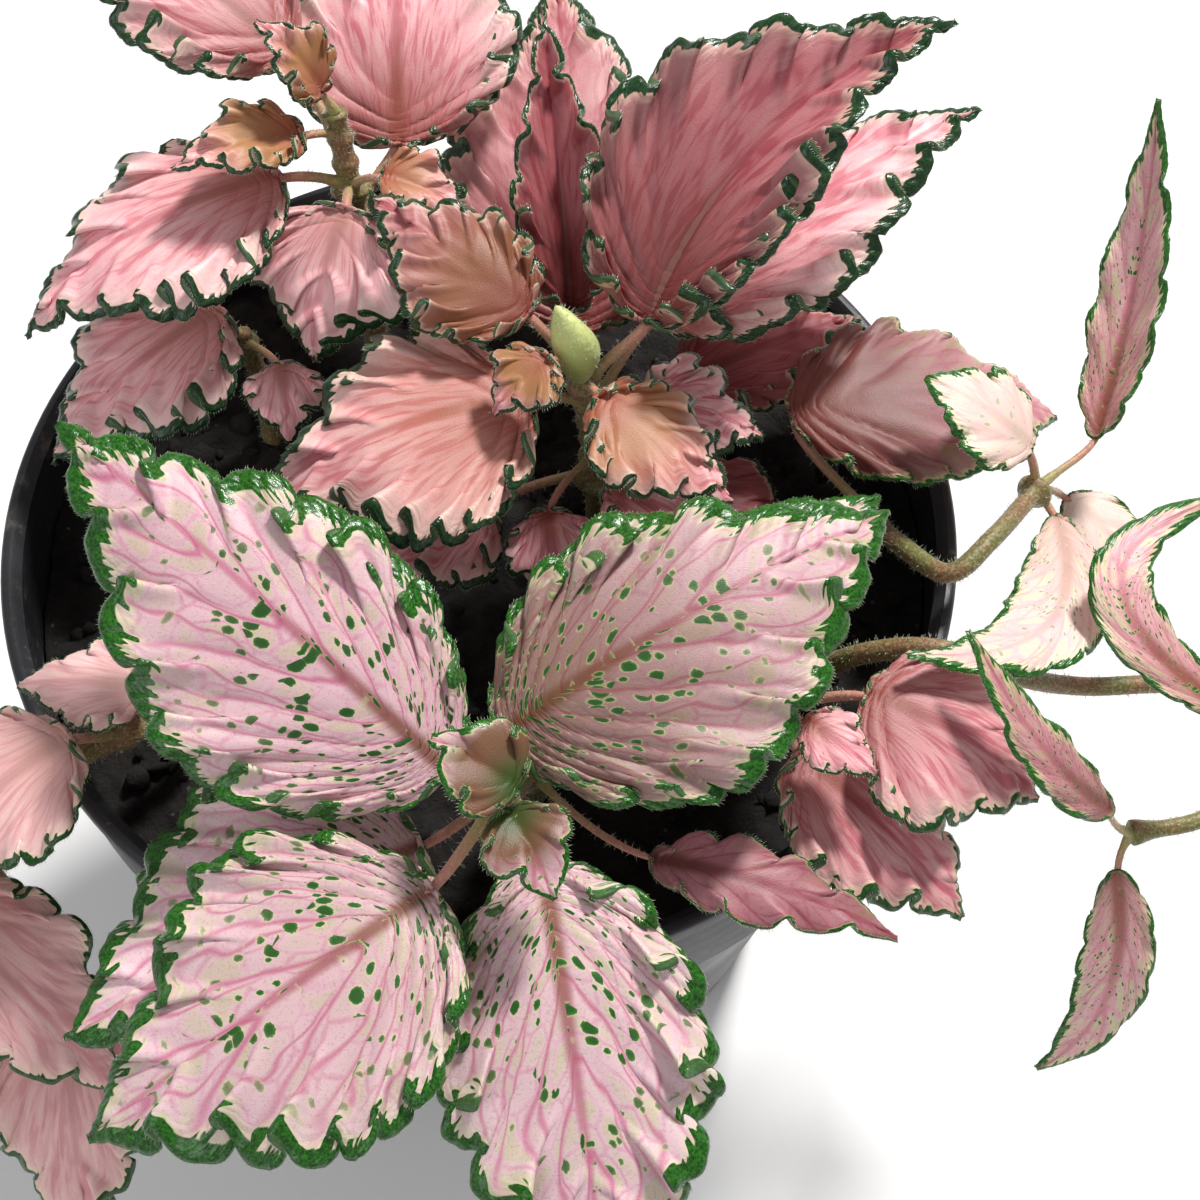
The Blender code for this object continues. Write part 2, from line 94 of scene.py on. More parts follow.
STEMS = {
    "front": Stem(
        [(6, -29, 78), (6, -30, 90), (4, -39, 100), (4, -42, 108.5)], 1.6, 1.2, "spotted_leaf", 1.0,
    ),
    "middle": Stem([(13, 4, 78), (13, 5, 92), (12, 6, 102), (11, 6, 110)], 1.6, 1.2, "salmon_leaf", 2.2),
    "left": Stem([(-13, 25, 78), (-13, 26, 95), (-14, 30, 108), (-15, 33, 118)], 1.6, 1.1, "salmon_leaf"),
    "left_low": Stem([(-26, 18, 78), (-26, 19, 88), (-27, 20, 97)], 1.3, 1.0, "salmon_leaf"),
    "right": Stem(
        [(43, 3, 78), (43.2, 2.6, 85), (45.5, -4, 91), (50, -10, 94.5), (55, -6, 95), (61, 2, 92)],
        1.2, 1.0, "pale_leaf",
    ),
    "right_low": Stem(
        [(37, -16, 78), (38, -17, 87), (44, -18, 92.5), (50, -19, 93.5), (58, -19, 88), (66, -17.5, 83),
         (78, -17, 82), (88, -20, 78.5), (86.5, -26, 77.5), (78, -31, 78), (70, -33, 79)],
        1.2, 0.9, "pale_leaf",
    ),
    "right_front": Stem([(27, -21, 78), (27, -22, 88), (31, -25, 93)], 1.4, 1.0, "rose_leaf"),
    "left_front": Stem(
        [(-28, -21, 78), (-29, -22, 88), (-37, -29, 93), (-46, -35, 92), (-50, -38, 85),
         (-49, -40, 76), (-48, -43, 70)],
        1.4, 1.0, "rose_leaf",
    ),
}

# A leaf's shape: the ends and the width of its blade, how far up the stem its petiole starts
# (0 to 1), how far the midrib bows out and sweeps aside and how much wider one half is (in blade
# lengths and halves), its roll and cup in degrees, and the height and number of its broad waves.
# Its colour, from 0 to 1: how deep it is, partly its own deeper colour and partly painted shade
# on leaves that lie in shade; how olive towards the base, where above 1 it reaches further towards
# the tip, and which on the pale leaves is a painted shade; how pale it is, partly its own paler
# colour and partly painted light on leaves that lie in shade; and how plain it is. Last, the folds
# along each margin where not the usual number.
Leaf = namedtuple(
    "Leaf", "base tip width at bow sweep lean roll cup frill waves deep olive pale plain folds",
    defaults=(0.8, 0.08, 0.0, 0.0, 0, -6, 1.6, 6, 0.0, 0.0, 0.0, 0.0, 0),
)

# The leaves of each shoot, in the order of their numbers
LEAVES = {
    "front": [
        Leaf((-1, -38, 105), (-39, -7, 118), 28, 0.75, lean=0.15, roll=12, cup=-8, frill=1.7, deep=0.3),
        Leaf((4, -36, 109), (42, -12, 110), 28, 0.9, 0.12, lean=-0.14, roll=-12, cup=-8, frill=1.7,
             deep=0.25, olive=0.75),
        Leaf((-2, -50, 106), (-33, -70, 96), 31, 0.9, 0.10, 0.03, frill=1.7, deep=0.1, olive=0.3),
        Leaf((8, -47, 104), (15, -88, 81), 25, 0.8, lean=0.03, frill=1.7, olive=0.2),
        Leaf((-4, -42, 97), (-38, -59, 89), 29, 0.45, lean=-0.15, frill=1.7),
        Leaf((11, -28.5, 97), (43, -2, 98), 23, 0.45, 0.06, frill=1.7),
        Leaf((6, -43.4, 113), (-2, -39.4, 115.5), 9.5, 1.0, cup=8, frill=0.4, waves=3,
             deep=0.2, olive=2.4, folds=3),
        Leaf((5, -44.6, 111.2), (9.4, -52.4, 109.5), 8.5, 1.0, cup=10, frill=0.4, waves=3,
             deep=0.2, olive=1.5, folds=3),
        Leaf((18, -44, 99), (42, -50, 93), 8, 0.4, 0.10, frill=1.0, waves=5, deep=0.9, plain=1.0, folds=5),
    ],
    "middle": [
        Leaf((6, 10, 113), (-11, 22, 118), 15, 0.85, 0.04, lean=0.1, roll=10, deep=0.6, olive=1.2, folds=11),
        Leaf((18, 8, 114), (49, 32, 132), 24, 0.8, 0.06, 0.1, 0.15, -5, 18, 2.0, 7, deep=0.8),
        Leaf((19, 16, 105), (55, 38, 114), 25, 0.6, 0.06, lean=0.15, cup=-4, frill=2.0),
        Leaf((6, 3, 108), (-23, -5, 100), 25, 0.7, 0.14, lean=0.1, roll=5, cup=-4, frill=2.0, olive=0.5),
        Leaf((13, 2, 110), (27, -7, 103), 13, 0.85, 0.12, lean=-0.2, cup=-4, frill=1.5, olive=1.1, folds=9),
        Leaf((8, 3.4, 114.5), (2.4, -1.8, 111.6), 8.5, 1.0, 0.12, cup=-4, frill=0.8, waves=4,
             deep=0.2, olive=1.8, folds=7),
        Leaf((7.5, -3, 96), (9, -12, 89), 10, 0.4, 0.12, cup=-4, waves=4),
        Leaf((14, -1, 98), (25, -7, 93), 11, 0.4, 0.12, cup=-4, waves=5),
        Leaf((17, 6, 102.5), (31, 4, 99.5), 14, 0.5, 0.12, cup=-4, waves=5),
        Leaf((10, 18, 103), (7, 42, 125), 12.5, 0.3, 0.05, cup=34, frill=1.4, deep=0.9, folds=9),
        Leaf((11, 20, 97), (8, 66, 107), 30, 0.35, cup=-4, waves=5, deep=0.7),
        Leaf((22, 16, 92), (44, 27, 91), 15, 0.3, cup=-4, frill=1.2, waves=4, deep=1.0),
        Leaf((19, 3, 91), (40, -3, 84), 15, 0.3, cup=-4, frill=1.2, waves=4, deep=1.0),
        Leaf((1, 0, 93), (-11, -8, 89), 15, 0.3, cup=-4, frill=1.2, waves=4),
    ],
    "left": [
        Leaf((-21, 28, 114), (-49, 14, 104), 22, 0.7, 0.14, lean=0.1, frill=1.5, pale=0.1),
        Leaf((-14, 25, 112), (-18, 13, 100), 20, 0.7, 0.16, waves=5, pale=0.3),
        Leaf((-20, 40, 119), (-48, 56, 127), 20, 0.8, 0.10, waves=5, deep=0.35),
        Leaf((-9, 35, 111), (-10, 68, 119), 27, 0.6, deep=0.2),
        Leaf((-18, 29, 119), (-31, 23, 120), 10, 0.9, cup=12, frill=1.0, waves=4, olive=1.5, folds=7),
        Leaf((-16, 33, 121), (-22, 35, 129), 9, 1.0, cup=12, frill=1.0, waves=4,
             deep=0.2, olive=1.6, folds=7),
        Leaf((-10, 27, 115), (-1, 25, 111), 9, 0.7, cup=12, frill=1.2, waves=4, olive=1.0, folds=7),
    ],
    "left_low": [
        Leaf((-29, 21, 100), (-47, 4, 94), 20, 0.9, 0.12, frill=1.5, waves=5, pale=0.25),
        Leaf((-22, 15, 98), (-21, 7, 94), 9, 0.9, frill=1.2, waves=3, pale=0.2),
    ],
    "right": [
        Leaf((68.5, 9, 92), (74, 38, 115), 9, 1.0, -0.06, roll=40, cup=10, frill=0.9, waves=5, deep=0.1),
        # Painted shade: this leaf is deepened, and its olive paints a dark shade over its base half
        Leaf((34, 9, 97), (66, 15, 88), 22, 0.3, 0.12, frill=1.5, deep=0.4, olive=1.1, plain=1.0),
        Leaf((59.5, 3, 99), (47.5, 8, 105), 12, 1.0, frill=0.8, waves=4, pale=0.8),
        Leaf((66.8, 6.5, 84), (76, -3.5, 80), 9.5, 1.0, frill=0.5, waves=3, pale=0.9),
        Leaf((63.5, -0.5, 91), (43.5, -23.5, 101.5), 10.5, 1.0, -0.01, 0.24, frill=0.8, waves=5, pale=0.5),
    ],
    "right_low": [
        Leaf((79, -26, 92), (81.5, -2, 98), 7, 0.7, 0.17, 0.54, frill=0.6, waves=5),
        Leaf((66, -34, 87), (49.3, -22.3, 104.5), 6.5, 1.0, 0.08, 0.12, frill=0.7, waves=4, deep=0.5),
        Leaf((68.5, -36, 76), (62.4, -51.3, 54), 8, 1.0, sweep=0.14, frill=0.7, waves=4),
    ],
    "right_front": [
        Leaf((40, -26, 98), (58, -34, 90), 20, 0.8, 0.12, lean=-0.1, frill=1.4, waves=5, deep=0.3),
        Leaf((33, -31, 95), (50, -45, 85), 18, 0.9, cup=0, frill=1.4, waves=5, deep=0.35),
        Leaf((33, -31, 102), (40, -36, 100), 7, 1.0, frill=0.6, waves=4),
    ],
    "left_front": [
        Leaf((-39, -31, 98.5), (-54, -43, 91), 17, 0.3, 0.12, frill=1.4, waves=5, pale=0.5),
        Leaf((-55, -43, 86), (-37, -58, 69), 17.5, 0.8, 0.12, frill=1.4, waves=4, pale=0.4),
        Leaf((-32, -25, 97), (-46, -24, 96), 10, 0.3, frill=0.8, waves=4, pale=0.6),
        Leaf((-44, -47, 68), (-42, -70, 54), 20, 1.0, 0.12, frill=1.5, waves=5, pale=0.4),
    ],
}

# Pinched folds of the margin for each colour of leaf: folds for each broad wave, how far they
# rise and reach inwards, how far the lobes between them are rounded, how narrow they are, how
# deep into the blade they go, and how much slimmer than an oval the tip is
Fold = namedtuple("Fold", "rate rise reach lobe narrow depth taper")

FOLDS = {
    "spotted_leaf": Fold(1.9, 2.4, 1.8, 2.0, 5.0, 7.5, 0.26),
    "salmon_leaf": Fold(1.9, 2.4, 2.5, 0.7, 3.2, 6.0, 0.40),
    "pale_leaf": Fold(1.5, 1.0, 0.9, 0.4, 2.4, 2.6, 0.1),
    "rose_leaf": Fold(1.6, 1.8, 1.9, 0.6, 3.0, 4.4, 0.25),
}


def normalised(vectors):
    """The vectors divided by their lengths."""
    return vectors / np.linalg.norm(vectors, axis=-1, keepdims=True)


def smooth_step(low, high, x):
    """A rise from 0 at low to 1 at high, as 3 u squared minus 2 u cubed."""
    u = np.clip((x - low) / (high - low), 0, 1)
    return u * u * (3 - 2 * u)


def circle(count):
    """Even angles around a circle."""
    return np.linspace(0, 2 * math.pi, count, endpoint=False)


def smooth_path(points, steps):
    """Points along a smooth curve through the given points."""
    p = np.array(points, float)
    p = np.vstack([2 * p[0] - p[1], p, 2 * p[-1] - p[-2]])
    t = np.linspace(0, len(points) - 1, steps + 1)
    i = np.minimum(t.astype(int), len(points) - 2)
    f = (t - i)[:, None]
    a, b, c, d = p[i], p[i + 1], p[i + 2], p[i + 3]
    square = 2 * a - 5 * b + 4 * c - d
    cube = 3 * b - a - 3 * c + d
    return 0.5 * (2 * b + (c - a) * f + square * f ** 2 + cube * f ** 3)


def stem_path(stem, steps):
    """The stem's middle line, with its foot sunk into the potting mix."""
    foot = np.array(stem.points[0], float)
    foot[2] = SOIL_TOP - STEM_SINK
    return smooth_path([tuple(foot)] + list(stem.points[1:]), steps)


def leaf_frame(leaf):
    """Base, length and the axes along, across and out of the blade."""
    base = np.array(leaf.base, float)
    chord = np.array(leaf.tip, float) - base
    length = np.linalg.norm(chord)
    along = chord / length
    up = normalised(np.array([0.0, 0.0, 1.0]) - along * along[2])
    turn = math.radians(leaf.roll)
    out = math.cos(turn) * up + math.sin(turn) * np.cross(up, along)
    return base, length, along, np.cross(out, along), out


def wave_phase(leaf, seed, tau):
    """Phase of the margin's broad waves, a little uneven from wave to wave."""
    shift = np.random.default_rng(seed).uniform(0, 2 * math.pi, 2)
    uneven = 0.5 * np.sin(8.2 * tau + shift[0]) + 0.35 * np.sin(18.2 * tau + shift[1])
    return 2 * math.pi * leaf.waves * tau + uneven


class Blade:
    """One leaf's blade as a smooth surface of tau, base to tip along the margin, and s, across.

    The margin is a pointed oval, each side vein arches from the midrib to the margin, and the
    midrib bows and sweeps. The outer part rises and falls in broad waves, and the margin
    itself is pinched into narrow folds that stand up and lean inwards, with flat lobes between.
    """

    def __init__(self, name, leaf, kind, seed):
        self.name, self.leaf, self.kind, self.seed = name, leaf, kind, seed
        self.frame = leaf_frame(leaf)
        self.length = self.frame[1]
        self.fold = FOLDS[kind]
        self.folds = leaf.folds or max(3, round(leaf.waves * self.fold.rate))
        draw = np.random.default_rng(1000 + seed)
        self.shift = draw.uniform(0, 1, 12)
        self.heights = draw.uniform(0.4, 1.15, (2, 40))
        self.size = min(1.0, leaf.width / FULL_WIDTH)
        least = 0.7 if kind == "pale_leaf" else 0.2
        self.margin_size = min(1.0, max(least, (leaf.width - 4) / 24)) * (1 - 0.4 * leaf.plain)

    def half_width(self, tau, s):
        """Half width of the blade on this side, in blade lengths."""
        oval = self.leaf.width / self.length / 2 * (4 * tau * (1 - tau)) ** 0.95
        oval = oval * (1 - self.fold.taper * smooth_step(0.55, 0.9, tau))
        return np.hypot(oval, LEAST_HALF_WIDTH / self.length) * (1 + self.leaf.lean * np.sign(s))

    def across(self, tau, s):
        """Distance from the midrib, negative on one side, measured across the flat blade."""
        return s * self.half_width(tau, s) * self.length

    def edge(self, tau, s):
        """Distance to the margin, measured across the flat blade."""
        return (1 - np.abs(s)) * self.half_width(tau, s) * self.length

    def fold_shape(self, tau, s):
        """Lift, reach and shift of the margin's pinched folds.

        Each fold is a peak exp(k (cos x - 1)) of its phase x. Its height blends into the next
        fold's midway between them. The rim between two folds is a lobe, drawn in towards each
        fold as (1 + cos x) squared, and a fold's flanks are drawn together at its foot.
        """
        side = (s > 0).astype(int)
        offset = np.where(side == 1, self.shift[0], self.shift[1])
        uneven = np.sin(6.5 * tau + 6.3 * offset) + 0.7 * np.sin(15 * tau + 9 * offset)
        turns = self.folds * (tau + 0.012 * uneven) + offset
        index = np.floor(turns).astype(int)
        near, far = self.heights[side, index % 40], self.heights[side, (index + 1) % 40]
        height = (near + (far - near) * smooth_step(0.3, 0.7, turns - index)) * self.size
        phase = 2 * math.pi * turns
        peak = np.exp(self.fold.narrow * (np.cos(phase) - 1))
        lobe = (0.5 + 0.5 * np.cos(phase)) ** 2
        lift = height * self.fold.rise * (peak - 0.16)
        reach = -height * (self.fold.reach * (peak - 0.1) + self.fold.lobe * (lobe - 0.3))
        neck = -0.7 * height * np.sin(phase) * (1 - 1.6 * peak) * (1 + np.cos(phase))
        return lift, reach, neck

    def points(self, tau, s):
        """Places in millimetres: the midrib's arch, plus the way out to the side, plus the lift.

        The lift adds the cup, the broad waves, the pinched folds, the drooping and crinkled edge
        and the relief; the waves and folds also draw the margin in and along.
        """
        leaf = self.leaf
        base, length, along, across, out = self.frame
        a = np.abs(s)
        half = self.half_width(tau, s)
        u = self.advance(tau, s)
        arch = 4 * u * (1 - u)
        slope = 4 * (1 - 2 * u)
        curve = leaf.bow * out + leaf.sweep * across
        middle = base + length * (u[..., None] * along + arch[..., None] * curve)
        tangent = normalised(along + slope[..., None] * curve)
        normal = normalised(out - (tangent @ out)[..., None] * tangent)
        side = np.cross(normal, tangent)
        phase = wave_phase(leaf, self.seed, tau)
        fade = smooth_step(0.02, 0.16, tau) * (1 - 0.8 * smooth_step(0.72, 0.98, tau))
        wave = WAVE_RISE * leaf.frill * fade * np.clip((a - 0.35) / 0.65, 0, 1) ** 1.6
        edge = self.edge(tau, s)
        grip = np.clip(1 - edge / (self.fold.depth * self.size), 0, 1) ** 1.6
        grip = grip * smooth_step(0.0, 0.10, tau) * (1 - 0.75 * smooth_step(0.80, 1.0, tau))
        fold_lift, fold_reach, fold_shift = self.fold_shape(tau, s)
        cup = math.radians(leaf.cup)
        width = length * half * a
        droop = EDGE_DROOP * self.size * np.exp(-edge / 0.5) * smooth_step(0.0, 0.2, tau)
        turns = 2 * math.pi * 2.2 * length / CRINKLE_STEP * tau + 40 * self.shift[5]
        crinkle = np.exp(-edge / 1.3) * np.sin(turns + 2 * np.sin(21 * tau))
        crinkle = CRINKLE_RISE * self.size * crinkle
        lift = width * math.sin(cup) + wave * np.sin(phase) + grip * fold_lift - droop + crinkle
        lift = lift + self.relief(tau, s)
        reach = width * math.cos(cup) + 0.25 * wave * np.sin(phase) + grip * fold_reach
        shift = -0.3 * wave * np.sin(2 * phase) + grip * fold_shift
        place = middle + (np.sign(s) * reach)[..., None] * side
        return place + lift[..., None] * normal + shift[..., None] * tangent

    def advance(self, tau, s):
        """How far along the blade a point lies, from 0 at the base to 1 at the tip."""
        ahead = tau ** 1.4 - 0.15 * tau * np.exp(-((tau / 0.12) ** 2))
        low = 0.25 * ahead
        rise = ahead - self.half_width(tau, np.zeros_like(s)) - low
        start = np.minimum(low + 0.5 * (rise + np.sqrt(rise ** 2 + 0.01 * tau)), ahead)
        a = np.abs(s)
        back = 0.35 * self.half_width(tau, s) * a * (1 - a)
        return np.clip(start + (ahead - start) * a - back, -0.05, 1.05)

    def vein_turns(self, tau, s):
        """Count of side veins up to here, with each vein's own wander; veins lie at whole numbers."""
        across = self.across(tau, s)
        step = SPOTTED_VEIN_STEP if self.kind == "spotted_leaf" else VEIN_STEP
        count = max(4, round(self.length / step))
        wander = 0.05 * np.sin(across * 0.8 + 6.3 * self.shift[2] + 5 * tau)
        wander = wander + 0.02 * np.sin(across * 1.9 + 6.3 * self.shift[3] - 9 * tau)
        sides = 0.25 * np.tanh(s / 0.04)
        fan = 0.85 - 0.35 * (1 - np.abs(s)) ** 1.3
        return count * tau ** fan + sides + wander * smooth_step(0.05, 0.4, np.abs(s)) + self.shift[4]

    def relief(self, tau, s):
        """Sunken midrib and side veins, with the blade puffed up a little between them."""
        across = np.abs(self.across(tau, s))
        turns = self.vein_turns(tau, s)
        gap = np.abs(turns - np.round(turns))
        fade = smooth_step(0.0, 1.2, self.edge(tau, s)) * smooth_step(0.02, 0.12, tau)
        rib = -RIB_DEPTH * np.exp(-((across / 0.6) ** 2)) * (1 - 0.7 * tau)
        puff = PUFF_RISE * np.sin(math.pi * gap) * smooth_step(0.5, 4.0, across) * self.size
        puff = puff * smooth_step(0.05, 0.4, tau)
        return fade * (rib + puff - VEIN_DEPTH * np.exp(-((gap / 0.08) ** 2)))

    def stations(self):
        """Rows an even distance apart along the margin, and columns closer at the margins."""
        t = np.linspace(0, 1, 900)
        rims = [self.points(t, np.full_like(t, side)) for side in (-1.0, 1.0)]
        steps = sum(np.linalg.norm(np.diff(rim, axis=0), axis=1) for rim in rims) / 2
        run = np.concatenate([[0.0], np.cumsum(steps)])
        rows = max(24, int(run[-1] / ROW_STEP))
        tau = np.interp(np.linspace(0, run[-1], rows + 1), run, t)
        columns = 2 * max(8, int(self.leaf.width * 0.45 + 7))
        x = np.linspace(-1, 1, columns + 1)
        return tau, 0.22 * x + 0.78 * np.sin(math.pi / 2 * x)


def new_mesh(name, points, faces):
    """A mesh object from points in millimetres and faces."""
    mesh = bpy.data.meshes.new(name)
    mesh.from_pydata((points * MM).tolist(), [], faces)
    mesh.shade_smooth()
    mesh.update()
    obj = bpy.data.objects.new(name, mesh)
    bpy.context.scene.collection.objects.link(obj)
    return obj


def add_map(obj, name, *fields):
    """Three numbers for each point, which the finishes read; a single number holds everywhere."""
    count = len(obj.data.vertices)
    values = np.stack([np.broadcast_to(np.ravel(field), count) for field in fields], -1)
    layer = obj.data.attributes.new(name, "FLOAT_VECTOR", "POINT")
    layer.data.foreach_set("vector", values.astype(np.float32).ravel())


def ring_quads(rows, ring):
    """Quads between rows + 1 rings of points, each ring closed on itself."""
    i, j = np.meshgrid(np.arange(rows), np.arange(ring), indexing="ij")
    k = (j + 1) % ring
    quads = np.stack([i * ring + j, (i + 1) * ring + j, (i + 1) * ring + k, i * ring + k], -1)
    return quads.reshape(-1, 4)


def tube_faces(rows, ring, start=0):
    """Quads of a closed tube of rows + 1 rings, and its two end faces.

    They face outwards where the rings run anticlockwise, seen along the tube.
    """
    last = start + rows * ring
    ends = [list(range(start, start + ring)), list(range(last + ring - 1, last - 1, -1))]
    return (ring_quads(rows, ring) + start).tolist() + ends


def turned_mesh(name, rings, top, base):
    """A closed body of rings about the axis, from a point on the axis above to one below."""
    rows, sides = rings.shape[0] - 1, rings.shape[1]
    points = np.concatenate([rings.reshape(-1, 3), [top, base]])
    j = np.arange(sides)
    k = (j + 1) % sides
    above = np.stack([np.full(sides, len(points) - 2), j, k], -1)
    below = np.stack([np.full(sides, len(points) - 1), rows * sides + k, rows * sides + j], -1)
    return new_mesh(name, points, ring_quads(rows, sides).tolist() + above.tolist() + below.tolist())


def make_blade(blade):
    """A closed thin leaf: the upper skin from edge to edge, then a coarser lower skin back.

    Its maps hold, for each point, the count of side veins, the distances from the midrib and to
    the margin, the underside, the leaf's tones (with its painted shade and painted light), the
    distance from the base and, for streaks that fan out of the base, the angle seen from a little
    behind it.
    """
    tau_rows, s_columns = blade.stations()
    tau, s = np.meshgrid(tau_rows, s_columns, indexing="ij")
    middle = blade.points(tau, s)
    normal = normalised(np.cross(np.gradient(middle, axis=0), np.gradient(middle, axis=1)))
    edge = np.abs(blade.edge(tau, s))
    thick = LAMINA_THICKNESS + (MARGIN_THICKNESS - LAMINA_THICKNESS) * np.exp(-((edge / 1.2) ** 2))
    thick = thick * (0.35 + 0.65 * smooth_step(0.0, 0.25, edge))
    thick = (thick * smooth_step(-0.02, 0.05, 1 - tau))[..., None]
    upper = middle + 0.5 * thick * normal
    lower = middle - 0.5 * thick * normal
    last = len(s_columns) - 1
    back = np.concatenate([[last], np.arange(last - 2, 1, -2), [0]])
    points = np.concatenate([upper, lower[:, back]], axis=1)
    rows, ring = len(tau_rows) - 1, points.shape[1]
    obj = new_mesh(blade.name, points.reshape(-1, 3), tube_faces(rows, ring))

    def around(field):
        """The field on the upper skin, then on the lower one."""
        return np.concatenate([field, field[:, back]], axis=1)

    across = blade.across(tau, s)
    ahead = blade.advance(tau, s) * blade.length
    radial = np.hypot(ahead, across)
    spread = np.arctan2(across, ahead + 0.25 * blade.length)
    fan = spread * (1 - 0.3 * radial / blade.length) * 24
    under = np.concatenate([np.zeros_like(s), np.ones((rows + 1, len(back)))], axis=1)
    leaf = blade.leaf
    add_map(obj, "veins", around(blade.vein_turns(tau, s)), around(across), 7.3 * blade.seed)
    add_map(obj, "rims", around(edge) / blade.margin_size, under, leaf.plain)
    add_map(obj, "tones", leaf.deep, leaf.olive, leaf.pale)
    add_map(obj, "sizes", blade.size, around(radial), around(radial / blade.length))
    add_map(obj, "fans", around(fan), 0.0, 0.0)
    return obj


def make_hairs(name, roots, ways, lengths, width):
    """Thin three-sided spikes, one for each root; all in one mesh."""
    count = len(roots)
    helper = np.where(np.abs(ways[:, 2:]) < 0.9, [[0.0, 0.0, 1.0]], [[1.0, 0.0, 0.0]])
    first = normalised(np.cross(ways, helper))
    second = np.cross(ways, first)
    spike = []
    for turn in (0.0, 2 * math.pi / 3, 4 * math.pi / 3):
        spike.append(roots + width * (math.cos(turn) * first + math.sin(turn) * second))
    spike.append(roots + lengths[:, None] * ways)
    points = np.stack(spike, 1).reshape(-1, 3)
    start = 4 * np.arange(count)[:, None]
    corners = [(0, 1, 3), (1, 2, 3), (2, 0, 3), (2, 1, 0)]
    faces = np.concatenate([start + np.array([three]) for three in corners]).tolist()
    return new_mesh(name, points, faces)


def margin_hairs(blade, draw):
    """Roots, directions and lengths of fine hairs along both margins of a blade."""
    t = np.linspace(0.01, 0.995, 1200)
    parts = []
    for side in (-1.0, 1.0):
        rim = blade.points(t, np.full_like(t, side))
        inner = blade.points(t, np.full_like(t, side * 0.985))
        run = np.concatenate([[0.0], np.cumsum(np.linalg.norm(np.diff(rim, axis=0), axis=1))])
        at = np.interp(np.arange(0, run[-1], HAIR_STEP), run, np.arange(len(t))).astype(int)
        way = normalised(rim - inner)[at] + draw.normal(0, 0.28, (len(at), 3))
        parts.append((rim[at], normalised(way), draw.uniform(0.22, 0.55, len(at))))
    return [np.concatenate(group) for group in zip(*parts)]


def tube_points(path, radii, sides):
    """Rings of points around a path, carried along it without twist."""
    tangent = normalised(np.gradient(path, axis=0))
    start = np.array([1.0, 0.0, 0.0]) if abs(tangent[0, 0]) < 0.7 else np.array([0.0, 1.0, 0.0])
    frames = []
    first = start
    for way in tangent:
        first = normalised(first - way * (first @ way))
        frames.append(first)
    first = np.array(frames)
    second = np.cross(tangent, first)
    turn = circle(sides)
    ring = np.cos(turn)[None, :, None] * first[:, None] + np.sin(turn)[None, :, None] * second[:, None]
    return path[:, None] + radii[:, None, None] * ring, ring


def petiole_path(blade, stem, steps):
    """A curve from the stem's middle to just under the start of the blade."""
    leaf = blade.leaf
    trunk = stem_path(stem, 40)
    index = min(int(leaf.at * 40), 39)
    growth = trunk[index + 1] - trunk[index]
    root = trunk[index] + (leaf.at * 40 - index) * growth
    growth = normalised(growth)
    base, _, along, across, out = leaf_frame(leaf)
    tangent = normalised(along + 4 * leaf.bow * out + 4 * leaf.sweep * across)
    normal = normalised(out - (out @ tangent) * tangent)
    end = base + 1.6 * tangent - 0.55 * normal
    span = np.linalg.norm(end - root)
    first = root + 0.35 * span * (0.5 * growth + 0.8 * (end - root) / span)
    second = end - 0.3 * span * tangent
    t = np.linspace(0, 1, steps + 1)[:, None]
    return (1 - t) ** 3 * root + 3 * (1 - t) ** 2 * t * first + 3 * (1 - t) * t ** 2 * second + t ** 3 * end


def bud_tube(stem, tip):
    """Path and radii of a bud, an egg that leans to the left and back as it rises."""
    u = np.linspace(0, 1, 24)
    lean = np.stack([-0.25 * u ** 2, 0.2 * u ** 2, u], -1)
    path = tip + stem.bud * (BUD_LENGTH * lean - np.array([0.0, 0.0, 0.8]))
    swell = np.sin(math.pi * np.clip(0.12 + 0.88 * u, 0, 1)) ** 0.8
    return path, 0.08 + stem.bud * BUD_RADIUS * swell


def make_stem(name, stem, blades, draw):
    """One shoot's stem with its petioles and its bud, and the roots of the hairs on them.

    The stem swells where a petiole leaves it, a petiole is thick at its foot and thin at its
    blade, and the bud has low ridges that wind up around it.
    """
    points, faces, maps, hairs = [], [], [], []
    trunk = stem_path(stem, 120)
    t = np.linspace(0, 1, len(trunk))
    radii = stem.radius + (stem.top_radius - stem.radius) * t
    for blade in blades:
        radii = radii + NODE_SWELL * stem.radius * np.exp(-(((t - blade.leaf.at) / 0.022) ** 2))
    tubes = [(trunk, radii, 20, TRUNK)]
    for blade in blades:
        path = petiole_path(blade, stem, 24)
        u = np.linspace(0, 1, len(path))
        thick = min(PETIOLE_RADIUS, 0.035 * blade.leaf.width + 0.25)
        taper = (1.25 - 0.5 * smooth_step(0.0, 0.35, u)) * (1 - 0.55 * u ** 6)
        tubes.append((path, thick * taper, 12, PETIOLE))
    if stem.bud:
        tubes.append((*bud_tube(stem, trunk[-1]), 18, BUD))
    start = 0
    for path, radius, sides, kind in tubes:
        rings, ways = tube_points(path, radius, sides)
        rows = len(path) - 1
        if kind == BUD:
            turn = circle(sides)
            twist = 4 * np.linspace(0, 1, rows + 1)[:, None]
            ridges = 1 + 0.16 * np.cos(2 * turn + 2.2) + 0.10 * np.sin(3 * turn + twist)
            rings = path[:, None] + (rings - path[:, None]) * ridges[..., None]
        faces += [face[::-1] for face in tube_faces(rows, sides, start)]
        start += rings.shape[0] * sides
        points.append(rings.reshape(-1, 3))
        u = np.repeat(np.linspace(0, 1, rows + 1), sides)
        maps.append(np.stack([u, np.full_like(u, kind)]))
        length = np.linalg.norm(np.diff(path, axis=0), axis=1).sum()
        wanted = int(length * 2 * math.pi * radius.mean() * HAIRS_PER_AREA)
        i = draw.integers(2, rows, wanted)
        j = draw.integers(0, sides, wanted)
        lean = normalised(ways[i, j] + draw.normal(0, 0.35, (wanted, 3)))
        hairs.append((rings[i, j], lean, draw.uniform(0.3, 0.75, wanted)))
    obj = new_mesh(name, np.concatenate(points), faces)
    add_map(obj, "run", *np.concatenate(maps, axis=1), 0.0)
    return obj, [np.concatenate(group) for group in zip(*hairs)]


